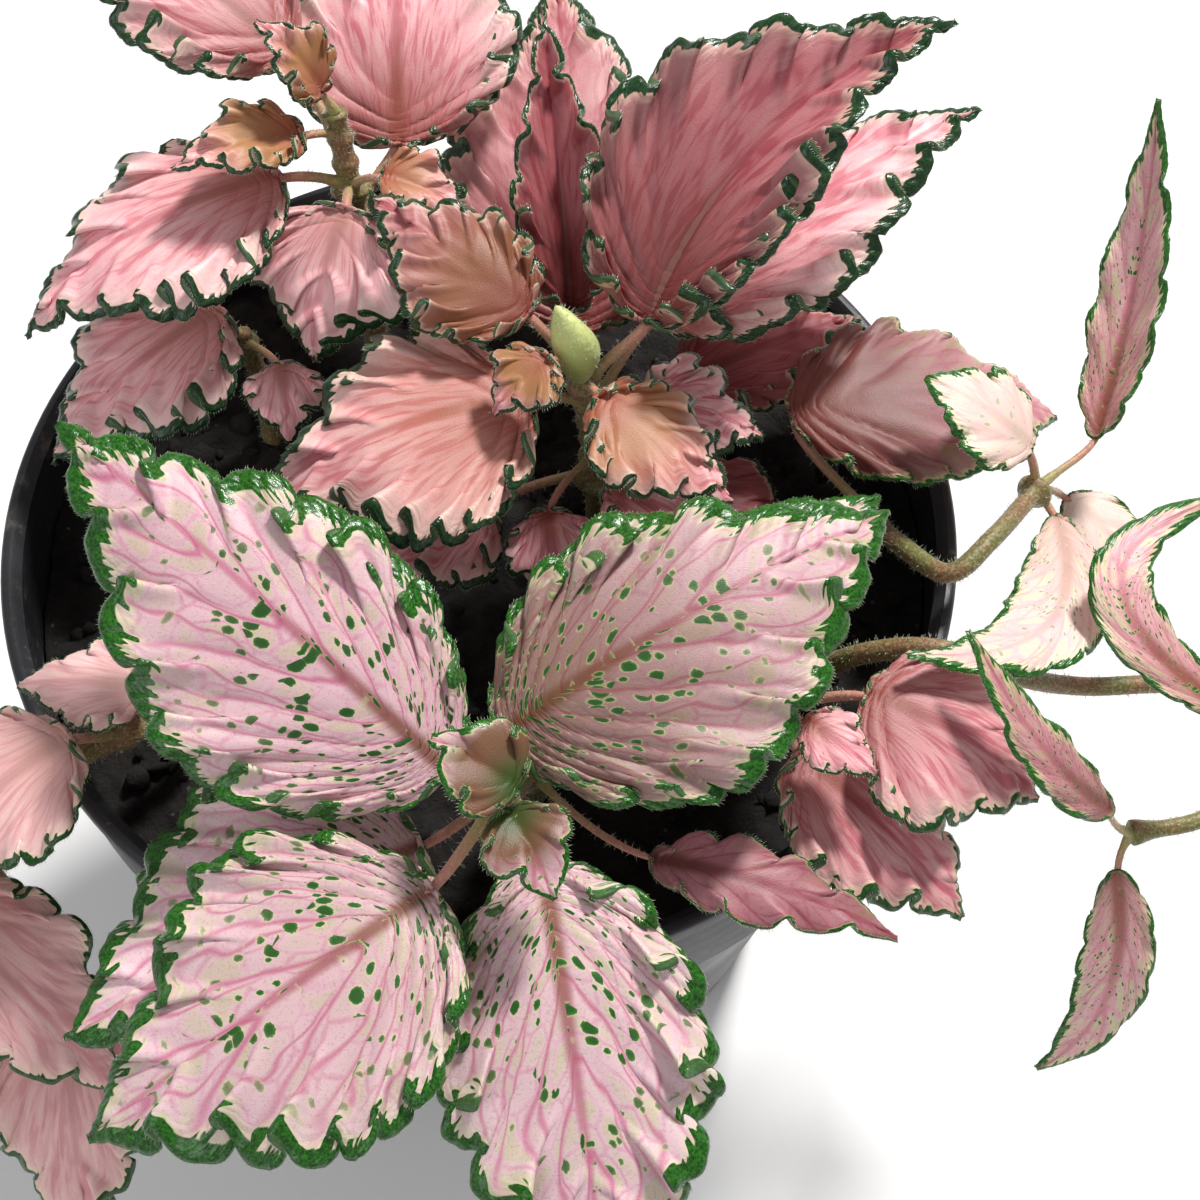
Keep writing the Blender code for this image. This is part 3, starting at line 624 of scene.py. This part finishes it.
def inner_radius(z):
    """Radius of the pot's inside at height z."""
    if z > SHOULDER_HEIGHT:
        return COLLAR_RADIUS - WALL
    return BASE_RADIUS - WALL + (SHOULDER_RADIUS - BASE_RADIUS) * z / SHOULDER_HEIGHT


def make_pot():
    """The pot's profile turned about its axis, with the drain holes cut through its floor.

    The profile runs from the floor inside up the wall, over the lip and down the outside. Each
    drill is turned a little, so that none of its corners lies on an edge of the floor.
    """
    step, lip = SHOULDER_HEIGHT, POT_HEIGHT
    inside, collar = inner_radius(0.0), COLLAR_RADIUS - WALL
    profile = [
        (inside - 1.0, WALL), (inside - 0.1, WALL + 0.5), (inside + 0.2, WALL + 1.4),
        (SHOULDER_RADIUS - WALL, step - 1.5), (collar - 0.3, step + 0.9), (collar, step + 1.8),
        (collar, lip - 1.2), (RIM_RADIUS - WALL - 0.3, lip - 0.35), (RIM_RADIUS - WALL + 0.1, lip),
        (RIM_RADIUS - 0.75, lip), (RIM_RADIUS - 0.35, lip - 0.12), (RIM_RADIUS - 0.08, lip - 0.4),
        (RIM_RADIUS, lip - 0.8), (RIM_RADIUS, lip - LIP_DEPTH + 0.6),
        (RIM_RADIUS - 0.2, lip - LIP_DEPTH + 0.2), (COLLAR_RADIUS + 0.15, lip - LIP_DEPTH),
        (COLLAR_RADIUS, lip - LIP_DEPTH - 0.2), (COLLAR_RADIUS, step + 1.6),
        (COLLAR_RADIUS - 0.15, step + 1.0), (SHOULDER_RADIUS + 1.5, step - 0.3),
        (SHOULDER_RADIUS + 0.5, step - 0.9), (SHOULDER_RADIUS, step - 2.0), (BASE_RADIUS + 0.6, 2.4),
        (BASE_RADIUS + 0.3, 1.0), (BASE_RADIUS - 0.3, 0.25), (BASE_RADIUS - 1.2, 0.0),
    ]
    turn = circle(POT_STEPS)
    r, z = np.array(profile).T
    heights = np.tile(z[:, None], (1, POT_STEPS))
    rings = np.stack([np.outer(r, np.cos(turn)), np.outer(r, np.sin(turn)), heights], -1)
    pot = turned_mesh("pot_shell", rings, (0.0, 0.0, WALL), (0.0, 0.0, 0.0))
    for i in range(DRAIN_HOLES):
        angle = 2 * math.pi * (i + 0.5) / DRAIN_HOLES
        x, y = DRAIN_RING * MM * math.cos(angle), DRAIN_RING * MM * math.sin(angle)
        bpy.ops.mesh.primitive_cylinder_add(
            vertices=48, radius=DRAIN_RADIUS * MM, depth=5 * WALL * MM,
            location=(x, y, 0.0), rotation=(0.0, 0.0, DRAIN_TURN),
        )
        drill = bpy.context.object
        cut = pot.modifiers.new("drain", "BOOLEAN")
        cut.object = drill
        bpy.context.view_layer.update()
        evaluated = pot.evaluated_get(bpy.context.evaluated_depsgraph_get())
        cut_mesh = bpy.data.meshes.new_from_object(evaluated)
        pot.modifiers.clear()
        pot.data = cut_mesh
        bpy.data.objects.remove(drill)
    pot.data.shade_smooth()
    pot.data.set_sharp_from_angle(angle=math.radians(35))
    return pot


def lattice_noise(x, y, seed):
    """Smooth random heights from -1 to 1 on a grid of whole numbers, blended between them."""
    table = np.random.default_rng(seed).uniform(-1, 1, (64, 64))
    i = np.floor(x).astype(int)
    j = np.floor(y).astype(int)
    u = smooth_step(0, 1, x - i)
    v = smooth_step(0, 1, y - j)
    i, j, right, above = i % 64, j % 64, (i + 1) % 64, (j + 1) % 64
    low = table[i, j] * (1 - u) + table[right, j] * u
    high = table[i, above] * (1 - u) + table[right, above] * u
    return low * (1 - v) + high * v


def soil_height(x, y):
    """Low mounds on the potting mix, with clods and crumbs on them."""
    mounds = np.sin(0.21 * x + 1.3) * np.cos(0.17 * y) + 0.6 * np.sin(0.33 * y - 0.12 * x)
    clods = 0.8 * lattice_noise(x / 3.1, y / 3.1, 3) + 0.5 * lattice_noise(x / 1.4, y / 1.4, 4)
    return SOIL_TOP + 0.7 * mounds + clods + 0.3 * lattice_noise(x / 0.7, y / 0.7, 5)


def make_soil():
    """The potting mix: a rough disc on top, and plain walls down to the pot's floor."""
    radius = inner_radius(SOIL_TOP) - 0.3
    rings, sides = 90, 240
    turn = circle(sides)
    r = radius * np.linspace(0, 1, rings + 1)[1:] ** 0.8
    x = np.outer(r, np.cos(turn))
    y = np.outer(r, np.sin(turn))
    z = soil_height(x, y)
    below, floor = SHOULDER_HEIGHT - 2.0, WALL + 1.5
    walls = [(SHOULDER_HEIGHT + 2.0, radius)]
    walls += [(height, inner_radius(height) - 0.3) for height in (below, floor)]
    for height, reach in walls:
        x = np.vstack([x, reach * np.cos(turn)])
        y = np.vstack([y, reach * np.sin(turn)])
        z = np.vstack([z, np.full(sides, height)])
    middle = float(soil_height(np.zeros(1), np.zeros(1))[0])
    return turned_mesh("soil", np.stack([x, y, z], -1), (0.0, 0.0, middle), (0.0, 0.0, floor))


def make_crumbs(draw):
    """Bits of bark and peat lying on the potting mix, each a lumpy twelve-sided block."""
    golden = (1 + math.sqrt(5)) / 2
    corners = np.array([(0, a, b * golden) for a in (-1, 1) for b in (-1, 1)], float)
    corners = normalised(np.concatenate([corners, np.roll(corners, 1, 1), np.roll(corners, 2, 1)]))
    near = np.linalg.norm(corners[:, None] - corners[None], axis=2) < 1.2
    triples = [(i, j, k) for i in range(12) for j in range(i + 1, 12) for k in range(j + 1, 12)
               if near[i, j] and near[j, k] and near[i, k]]
    triples = [t if np.linalg.det(corners[list(t)]) > 0 else (t[0], t[2], t[1]) for t in triples]
    count = CRUMBS
    angle = draw.uniform(0, 2 * math.pi, count)
    reach = (inner_radius(SOIL_TOP) - 3.0) * np.sqrt(draw.uniform(0, 1, count))
    x, y = reach * np.cos(angle), reach * np.sin(angle)
    size = draw.uniform(0.5, 1.5, (count, 1, 1)) * draw.uniform(0.5, 1.3, (count, 1, 3))
    shapes = corners[None] * size * draw.uniform(0.75, 1.2, (count, 12, 1))
    turns = np.linalg.qr(draw.normal(0, 1, (count, 3, 3)))[0]
    turns = turns * np.sign(np.linalg.det(turns))[:, None, None]
    shapes = shapes @ turns
    places = np.stack([x, y, soil_height(x, y) + 0.3 * size.mean(axis=(1, 2))], -1)
    points = (shapes + places[:, None]).reshape(-1, 3)
    faces = (12 * np.arange(count)[:, None, None] + np.array(triples)[None]).reshape(-1, 3)
    return new_mesh("crumbs", points, faces.tolist())


def linear(colour):
    """A screen colour, from 0 to 255, as the shader's linear values."""
    values = np.array(colour) / 255
    return np.where(values > 0.04045, ((values + 0.055) / 1.055) ** 2.4, values / 12.92).tolist()


class Finish:
    """A material under construction: adds shader nodes and links them as they are made."""

    def __init__(self, name, roughness=0.5, **plain):
        self.material = bpy.data.materials.new(name)
        self.material.use_nodes = True
        self.tree = self.material.node_tree
        self.shader = self.tree.nodes["Principled BSDF"]
        self.colour = (255, 255, 255)
        self.put(self.shader.inputs["Roughness"], roughness)
        for label, value in plain.items():
            self.put(self.shader.inputs[label.replace("_", " ")], value)

    def put(self, socket, value):
        """Links an output to the socket, or sets the socket's own colour or number."""
        if isinstance(value, bpy.types.NodeSocket):
            self.tree.links.new(value, socket)
        elif socket.type == "RGBA":
            socket.default_value = (*linear(value), 1.0)
        else:
            socket.default_value = value

    def node(self, kind, inputs, **settings):
        """The outputs of a new node, with its settings and then its inputs set or linked."""
        node = self.tree.nodes.new("ShaderNode" + kind)
        for label, value in settings.items():
            setattr(node, label, value)
        for key, value in inputs.items():
            self.put(node.inputs[key], value)
        return node.outputs

    def split(self, vector):
        """The three numbers of a vector or a colour."""
        return self.node("SeparateXYZ", {0: vector})

    def read(self, name):
        """The three numbers of a named attribute."""
        return self.split(self.node("Attribute", {}, attribute_name=name)["Vector"])

    def vector(self, x, y, z=0.0):
        return self.node("CombineXYZ", {0: x, 1: y, 2: z})[0]

    def object_mm(self):
        """The place on the object, in millimetres."""
        place = self.node("TexCoord", {})["Object"]
        return self.node("VectorMath", {0: place, "Scale": 1 / MM}, operation="SCALE")[0]

    def math(self, operation, *values):
        """One step of arithmetic."""
        return self.node("Math", dict(enumerate(values)), operation=operation)[0]

    def times(self, a, b):
        return self.math("MULTIPLY", a, b)

    def plus(self, a, b):
        return self.math("ADD", a, b)

    def minus(self, a, b):
        return self.math("SUBTRACT", a, b)

    def over(self, a, b):
        return self.math("DIVIDE", a, b)

    def times_plus(self, a, b, c):
        """a times b, plus c."""
        return self.math("MULTIPLY_ADD", a, b, c)

    def step(self, low, high, value, bottom=0.0, top=1.0):
        """A smooth rise from bottom to top between low and high."""
        inputs = dict(enumerate((value, low, high, bottom, top)))
        return self.node("MapRange", inputs, interpolation_type="SMOOTHSTEP")[0]

    def mix(self, factor, a, b, blend="MIX"):
        """Colour a where the factor is 0, and b where it is 1."""
        return self.node("Mix", {0: factor, 6: a, 7: b}, data_type="RGBA", blend_type=blend)[2]

    def noise(self, where, scale, detail=2.0, roughness=0.5, flat=True, part="Fac"):
        """Cloudy noise around 0.5, in a plane or in space."""
        inputs = {"Vector": where, "Scale": scale, "Detail": detail, "Roughness": roughness}
        return self.node("TexNoise", inputs, noise_dimensions="2D" if flat else "3D")[part]

    def cells(self, where, scale, feature="F1", flat=True):
        """Random cells: the distance from each one's middle or border, and its own colour."""
        inputs = {"Vector": where, "Scale": scale}
        kind = "2D" if flat else "3D"
        return self.node("TexVoronoi", inputs, feature=feature, voronoi_dimensions=kind)

    def bump(self, height, distance_mm):
        """Fine relief: where the height is 1 the surface seems this far out."""
        inputs = {"Height": height, "Distance": distance_mm * MM, "Strength": 1.0}
        self.put(self.shader.inputs["Normal"], self.node("Bump", inputs)[0])

    def paint(self, share, tint):
        """Covers a share of the base colour with another one."""
        self.colour = self.mix(share, self.colour, tint)

    def done(self):
        """The material, with the painted colour on its shader."""
        self.put(self.shader.inputs["Base Color"], self.colour)
        return self.material


# Colours of one kind of leaf, then in millimetres the margin's least width, how far its broad
# bays and its teeth reach in, the veins' width and their spacing, then the strength of the fanned
# streaks and the share of cells that hold a spot
Look = namedtuple(
    "Look", "ground outer vein areole olive green deep_green halo"
    " least margin teeth vein_width vein_gap fans spots",
)

LOOKS = {
    "spotted_leaf": Look(
        (240, 203, 214), (243, 214, 219), (206, 104, 142), (220, 206, 182),
        (108, 66, 10), (40, 112, 12), (12, 58, 4), (214, 218, 160),
        0.6, 0.7, 0.8, 0.34, 2.9, 0.0, 0.75,
    ),
    "salmon_leaf": Look(
        (246, 182, 188), (250, 216, 212), (206, 94, 114), (226, 158, 162),
        (168, 122, 68), (30, 74, 28), (10, 38, 20), (236, 206, 180),
        0.6, 0.35, 0.5, 0.45, 4.6, 1.0, 0.0,
    ),
    # On the pale leaves the olive colour is a dark red-brown painted shade, laid over the base of a leaf that
    # lies in shade
    "pale_leaf": Look(
        (236, 178, 186), (242, 222, 206), (208, 124, 140), (218, 208, 170),
        (106, 36, 30), (50, 116, 26), (20, 74, 18), (220, 220, 160),
        0.4, 0.3, 0.5, 0.5, 4.6, 0.5, 0.35,
    ),
    "rose_leaf": Look(
        (234, 172, 176), (246, 212, 204), (198, 92, 114), (222, 162, 170),
        (180, 130, 80), (34, 90, 22), (14, 54, 16), (228, 212, 170),
        0.4, 0.3, 0.5, 0.45, 4.6, 1.0, 0.0,
    ),
}


def leaf_finish(kind):
    """Veins, streaks, spots and a flame-toothed green margin, drawn along the leaf's own veins.

    Side veins lie where the vein count is whole. From the foot of each a branch runs out, which
    comes to lie midway to the next vein near the margin. Streaks are noise of the fan's angle,
    drawn out along it. Areoles are cells stretched along the veins, tinted inside and netted with
    veins, and spots are smaller cells among them, fewer towards the tip and the margin. Olive and
    brown fade from the base; on the fanned leaves the brown is partly their own and partly painted
    shade near the stem, and on the pale leaves the olive is a painted shade. Each leaf is then
    darkened by its deep value, partly its own deeper colour and partly painted shade, and lifted by
    its pale value, partly its own paler colour and partly painted light. The margin's green reaches
    in by a least width, plus bays and teeth of noise that follow the veins.
    """
    look = LOOKS[kind]
    f = Finish(kind + "_finish", Sheen_Weight=0.06, Sheen_Roughness=0.4)
    turns, across, offset = f.read("veins")
    edge, under, plain = f.read("rims")
    # The tones: how deep, partly painted shade; how olive, a painted shade on the pale leaves; how pale,
    # partly painted light
    deep, olive, pale = f.read("tones")
    size, radial, reached = f.read("sizes")
    fan_place, _, _ = f.read("fans")
    breadth = f.math("ABSOLUTE", across)
    outward = f.over(breadth, f.plus(f.plus(breadth, edge), 0.001))

    # Flow coordinates: millimetres across the side veins and along them, with a slow drift
    along = f.times_plus(turns, look.vein_gap, offset)
    drift_a, drift_b, drift_c = f.split(f.noise(f.vector(along, across), 0.35, 1.0, part="Color"))
    drift = f.times(f.minus(drift_a, 0.5), 0.6 if look.fans else 1.1)
    sideways = f.plus(drift, along)
    count = f.times_plus(drift, 1 / look.vein_gap, turns)

    # Side veins, their branches and the midrib, each a soft band
    gap = f.times(f.math("PINGPONG", count, 0.5), look.vein_gap)
    swing = f.times(f.math("SINE", f.times_plus(drift_b, 5.0, radial)), 0.06)
    branch_at = f.minus(count, f.plus(f.step(0.05, 0.75, outward, 0.0, 0.5), swing))
    branch = f.times(f.math("PINGPONG", branch_at, 0.5), look.vein_gap)
    side_line = f.times(f.step(look.vein_width, 0.0, gap), f.step(0.2, 1.0, outward, 1.0, 0.6))
    branch_line = f.times(f.step(look.vein_width * 0.8, 0.0, branch), f.step(0.1, 0.35, outward, 0.0, 0.9))
    rib_line = f.step(1.3, 0.2, f.over(breadth, f.step(0.0, 0.8, reached, 1.1, 0.3)))
    lines = f.math("MAXIMUM", side_line, branch_line)

    # Lamina: cream near the margin, fanned streaks, veins, a fine stipple, olive towards the base
    # (a painted shade on the pale leaves), and on the fanned leaves a brown base, partly their own
    # colour and partly painted shade
    skin = f.noise(f.object_mm(), 3.5, 1.0, 0.7, flat=False)
    if look.fans:
        rays = f.plus(f.times_plus(drift, 2.2, fan_place), offset)
        streak = f.noise(f.vector(rays, f.times(radial, 0.12)), 1.25, 2.0, 0.65)
    else:
        streak = f.noise(f.vector(sideways, f.times(across, 0.06)), 1.5, 2.0, 0.6)
    reach = f.times_plus(f.minus(streak, 0.5), 0.9, outward)
    f.colour = look.ground
    f.paint(f.step(0.5, 1.0, reach), look.outer)
    if look.fans:
        fan = f.step(0.48, 0.64, streak)
        fan = f.times(fan, f.step(1.0, 0.5, outward, 0.08, 0.7 * look.fans))
        f.paint(fan, look.vein)
        f.paint(f.step(0.46, 0.3, streak, 0.0, 0.5 * look.fans), look.outer)
    if look.spots:
        other_side = f.times(f.math("SIGN", across), 37.0)
        cell_place = f.vector(f.times_plus(sideways, 0.62, other_side), f.over(radial, 3.6))
        border = f.cells(cell_place, 1.0, "DISTANCE_TO_EDGE")["Distance"]
        crowd, tilt, _ = f.split(f.cells(cell_place, 1.0)["Color"])
        inner = f.times(f.step(0.03, 0.25, border), f.step(0.6, 0.1, lines))
        f.paint(f.times(inner, f.step(0.2, 0.9, tilt, 0.1, 0.9)), look.areole)
        lines = f.math("MAXIMUM", lines, f.step(0.12, 0.0, border, 0.0, f.step(0.3, 0.7, drift_c, 0.15, 0.5)))
    strength = 0.8 - 0.4 * look.fans
    f.paint(f.times(lines, f.step(0.7, 1.0, outward, strength, 0.6 * strength)), look.vein)
    f.paint(f.step(0.5, 0.75, skin, 0.0, 0.2), look.olive)
    rib_tint = f.mix(f.step(0.6, 0.1, reached), look.vein, (138, 78, 62))
    f.paint(f.times(rib_line, f.step(0.1, 0.7, reached, 0.9, 0.65)), rib_tint)
    near_base = f.step(1.0, 0.1, reached)
    olive_share = f.math("MINIMUM", f.times(near_base, olive), 0.94)
    # Olive towards the base; on the pale leaves this colour is a painted shade
    f.paint(olive_share, look.olive)
    # A brown base on the fanned leaves, partly their own colour and partly painted shade near the stem
    if look.fans:
        f.paint(f.step(0.55, 0.0, reached, 0.0, 0.85 * look.fans), (152, 68, 52))
    if look.spots:
        heart = f.times(f.step(0.5, 0.1, reached), f.step(1.0, 1.6, olive, 0.0, 0.9))
        f.paint(heart, (36, 80, 4))

    # Green spots in the middles of the areoles, smaller and paler away from the midrib's base
    if look.spots:
        spot_across = f.over(f.times_plus(sideways, 0.9, other_side), size)
        spot_place = f.vector(spot_across, f.over(radial, f.times(size, 1.9)))
        spot = f.cells(spot_place, 1.0)
        chance, kin, _ = f.split(spot["Color"])
        far = f.times_plus(reached, 0.8, f.times(outward, 0.5))
        share = f.times(f.step(1.15, 0.25, far, 0.34, look.spots), f.step(0.2, 0.65, crowd, 0.15, 1.0))
        share = f.times(share, f.step(0.03, 0.16, reached, 0.3, 1.0))
        share = f.times(share, f.step(0.92, 0.78, olive_share))
        chosen = f.math("LESS_THAN", chance, f.times(share, f.minus(1.0, plain)))
        chosen = f.times(chosen, f.step(0.8, 0.3, side_line))
        rough = f.times(f.minus(skin, 0.5), 0.16)
        spot_size = f.times(f.step(0.0, 1.0, kin, 0.18, 0.42), f.step(0.3, 1.0, far, 1.0, 0.6))
        inside = f.minus(f.plus(spot_size, rough), spot["Distance"])
        faint = f.times(f.step(0.4, 1.0, far, 1.0, 0.3), chosen)
        f.paint(f.times(f.step(-0.16, 0.0, inside, 0.0, 0.4), chosen), look.halo)
        f.paint(f.times(f.step(-0.02, 0.03, inside), faint), look.green)
        f.paint(f.times(f.step(0.04, 0.16, inside, 0.0, 0.6), faint), look.deep_green)

    # The paler underside; then single leaves darkened by their deep value, partly their own deeper
    # colour and partly painted shade, and lifted by their pale value, partly their own paler colour
    # and partly painted light
    f.paint(f.times(under, 0.35), (206, 196, 178))
    painted_shade = f.mix(1.0, f.colour, (160, 104, 108), "MULTIPLY")
    f.paint(deep, painted_shade)
    f.paint(f.times(pale, 0.7), look.outer)

    # Margin: green, with teeth that follow the veins inwards
    tooth = f.noise(f.vector(sideways, f.times(across, 0.3)), 2.2, 1.0, 0.6)
    reach_in = f.times_plus(f.step(0.42, 0.66, tooth), look.teeth, look.least)
    reach_in = f.times_plus(f.step(0.25, 0.75, drift_c), look.margin, reach_in)
    depth = f.minus(reach_in, edge)
    rim = f.step(-0.03, 0.10, depth)
    greens = f.mix(f.step(0.3, 0.7, skin), look.deep_green, look.green)
    greens = f.mix(f.times(under, 0.4), greens, (92, 120, 80))
    f.paint(f.times(f.step(-0.8, 0.0, depth), 0.4), look.halo)
    f.paint(rim, greens)
    f.put(f.shader.inputs["Roughness"], f.step(0.0, 1.0, rim, 0.5, 0.28))

    # Puffed cells on the margin, and the fine papillae of the blade
    bead = f.cells(f.vector(along, across), 2.2)["Distance"]
    grain = f.noise(f.object_mm(), 8.0, 0.0, flat=False)
    f.bump(f.minus(f.times(grain, 0.18), f.times(bead, f.step(3.0, 0.5, edge))), 0.12)
    return f.done()


def stem_finish():
    """Green and brown skin of the stems, reddish on the petioles, pale green on the buds."""
    f = Finish("stem_finish", 0.5, Sheen_Weight=0.3, Sheen_Roughness=0.4)
    along, part, _ = f.read("run")
    blotch = f.noise(f.object_mm(), 0.25, 3.0, 0.6, flat=False)
    f.colour = (104, 104, 50)
    f.paint(f.step(0.35, 0.65, blotch), (130, 92, 62))
    stalk = f.mix(f.step(0.0, 0.8, along), (150, 146, 84), (196, 128, 116))
    bud = f.mix(f.step(0.1, 0.9, along), (140, 160, 76), (206, 216, 138))
    f.paint(f.step(0.4, 0.6, part), stalk)
    f.paint(f.step(1.4, 1.6, part), bud)
    fleck = f.noise(f.object_mm(), 3.0, 2.0, flat=False)
    f.paint(f.step(0.45, 0.7, fleck, 0.0, 0.4), (190, 184, 130))
    f.bump(f.noise(f.object_mm(), 1.6, 3.0, flat=False), 0.15)
    return f.done()


def hair_finish():
    """Pale green hairs, a little darker in places."""
    f = Finish("hair_finish", 0.4)
    f.colour = (226, 232, 214)
    f.paint(f.noise(f.object_mm(), 0.5, 1.0, flat=False), (180, 200, 160))
    return f.done()


def pot_finish():
    """Thin black plastic with a fine satin grain, faint moulding rings, scuffs and pale dust that grows
    towards the rim, partly real dust and partly a painted highlight on the lip.
    """
    f = Finish("pot_finish")
    place = f.object_mm()
    x, y, z = f.split(place)
    cloud = f.noise(place, 0.06, 4.0, 0.6, flat=False)
    f.colour = (30, 31, 34)
    f.paint(f.step(0.3, 0.7, cloud), (46, 47, 52))
    # Pale dust that grows towards the rim: partly real dust, partly a painted highlight on the lit lip
    dust_and_highlight = f.step(0.55, 0.8, f.noise(place, 0.35, 5.0, 0.7, flat=False))
    f.paint(f.times(dust_and_highlight, f.step(60.0, 90.0, z, 0.25, 0.5)), (120, 112, 100))
    flat_place = f.vector(f.times(x, 0.25), y, f.times(z, 3.0))
    scratch = f.step(0.68, 0.74, f.noise(flat_place, 0.8, 3.0, flat=False))
    f.paint(f.times(scratch, 0.35), (130, 132, 136))
    f.put(f.shader.inputs["Roughness"], f.step(0.3, 0.7, cloud, 0.34, 0.5))
    rings = f.math("SINE", f.times(z, 2.6))
    grain = f.noise(place, 6.0, 2.0, flat=False)
    f.bump(f.plus(f.times(rings, 0.25), grain), 0.04)
    return f.done()


def soil_finish():
    """Damp peat, near black with browner patches, partly its own dark colour and partly painted shade for the
    deep pot, with fibres and pale grains.
    """
    f = Finish("soil_finish", 0.85)
    place = f.object_mm()
    tone = f.noise(place, 0.7, 5.0, 0.7, flat=False)
    # Near-black browns: the peat's own dark colour, darkened further as painted shade for the deep pot
    f.colour = (8, 6, 5)
    f.paint(f.step(0.3, 0.7, tone), (28, 21, 16))
    fibre = f.step(0.62, 0.7, f.noise(place, 2.4, 4.0, 0.7, flat=False))
    f.paint(f.times(fibre, 0.6), (58, 43, 31))
    grain = f.step(0.10, 0.06, f.cells(place, 0.35, flat=False)["Distance"])
    f.paint(grain, (90, 84, 76))
    f.bump(f.noise(place, 2.0, 5.0, 0.7, flat=False), 0.6)
    return f.done()


def floor_finish():
    """Plain pale grey, nearly even."""
    f = Finish("floor_finish", 0.9)
    f.colour = (240, 240, 240)
    f.paint(f.noise(f.object_mm(), 0.01, 2.0, flat=False), (246, 246, 246))
    return f.done()


def soft_light(name, place, target, size, power, tint):
    """A round lamp that faces its target."""
    light = bpy.data.lights.new(name, "AREA")
    light.shape = "DISK"
    light.size = size
    light.energy = power
    light.color = tint
    lamp = bpy.data.objects.new(name, light)
    bpy.context.scene.collection.objects.link(lamp)
    lamp.location = place
    way = np.array(target) - np.array(place)
    flat = math.hypot(way[0], way[1])
    lamp.rotation_euler = (math.atan2(flat, -way[2]), 0.0, math.atan2(-way[0], way[1]))
    return lamp


def show(piece, material, node):
    """Finishes a piece, sets it on the plant and puts it in the place of a CAD node."""
    piece.data.materials.clear()
    piece.data.materials.append(material)
    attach(piece, "root")
    if node:
        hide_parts(node)


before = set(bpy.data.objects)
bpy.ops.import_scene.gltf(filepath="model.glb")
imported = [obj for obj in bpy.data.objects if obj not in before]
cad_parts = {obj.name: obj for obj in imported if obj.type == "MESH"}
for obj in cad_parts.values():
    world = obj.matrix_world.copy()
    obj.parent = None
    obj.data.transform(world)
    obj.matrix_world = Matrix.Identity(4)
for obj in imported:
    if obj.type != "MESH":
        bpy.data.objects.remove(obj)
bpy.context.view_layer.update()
draw = np.random.default_rng(7)

# Leaves, with the hairs of each shoot's margins in one piece
finishes = {kind: leaf_finish(kind) for kind in LOOKS}
hair = hair_finish()
blades = {shoot: [] for shoot in STEMS}
seed = 0
for shoot, leaves in LEAVES.items():
    for number, leaf in enumerate(leaves, 1):
        blade = Blade(f"{shoot}_leaf_{number}", leaf, STEMS[shoot].leaf_colour, seed)
        blades[shoot].append(blade)
        show(make_blade(blade), finishes[blade.kind], blade.name)
        seed += 1

# Stems, petioles, buds and all hairs
stem_skin = stem_finish()
for shoot, stem in STEMS.items():
    own = blades[shoot]
    piece, stem_hairs = make_stem(shoot + "_stem_skin", stem, own, draw)
    show(piece, stem_skin, shoot + "_stem")
    groups = [margin_hairs(blade, draw) for blade in own] + [stem_hairs]
    roots, ways, lengths = [np.concatenate(group) for group in zip(*groups)]
    show(make_hairs(shoot + "_hairs", roots, ways, lengths, HAIR_WIDTH), hair, None)

# Pot and potting mix
show(make_pot(), pot_finish(), "pot")
earth = soil_finish()
show(make_soil(), earth, "potting_mix")
show(make_crumbs(draw), earth, None)

# Floor, light and camera
corners = [(-1, -1, 0), (1, -1, 0), (1, 1, 0), (-1, 1, 0)]
floor = new_mesh("floor", FLOOR_REACH * np.array(corners), [[0, 1, 2, 3]])
floor.data.materials.append(floor_finish())

soft_light("key_light", (0.28, 0.42, 0.72), (0.01, 0.0, 0.09), 0.12, 8.2, (1.0, 0.98, 0.96))
soft_light("fill_light", (-0.4, -0.6, 0.6), (0.0, 0.0, 0.08), 0.6, 1.9, (0.95, 0.97, 1.0))
world = bpy.data.worlds.new("studio")
world.use_nodes = True
sky = world.node_tree.nodes["Background"]
sky.inputs["Color"].default_value = (1.0, 1.0, 1.0, 1.0)
sky.inputs["Strength"].default_value = SKY_STRENGTH
bpy.context.scene.world = world
bpy.context.scene.view_settings.view_transform = "Standard"

camera_data = bpy.data.cameras.new("camera")
camera_data.lens = CAMERA_LENS
camera_data.clip_start = 0.01
camera = bpy.data.objects.new("camera", camera_data)
camera.location = CAMERA_PLACE
camera.rotation_euler = (math.radians(CAMERA_TILT), 0.0, 0.0)
bpy.context.scene.collection.objects.link(camera)
bpy.context.scene.camera = camera
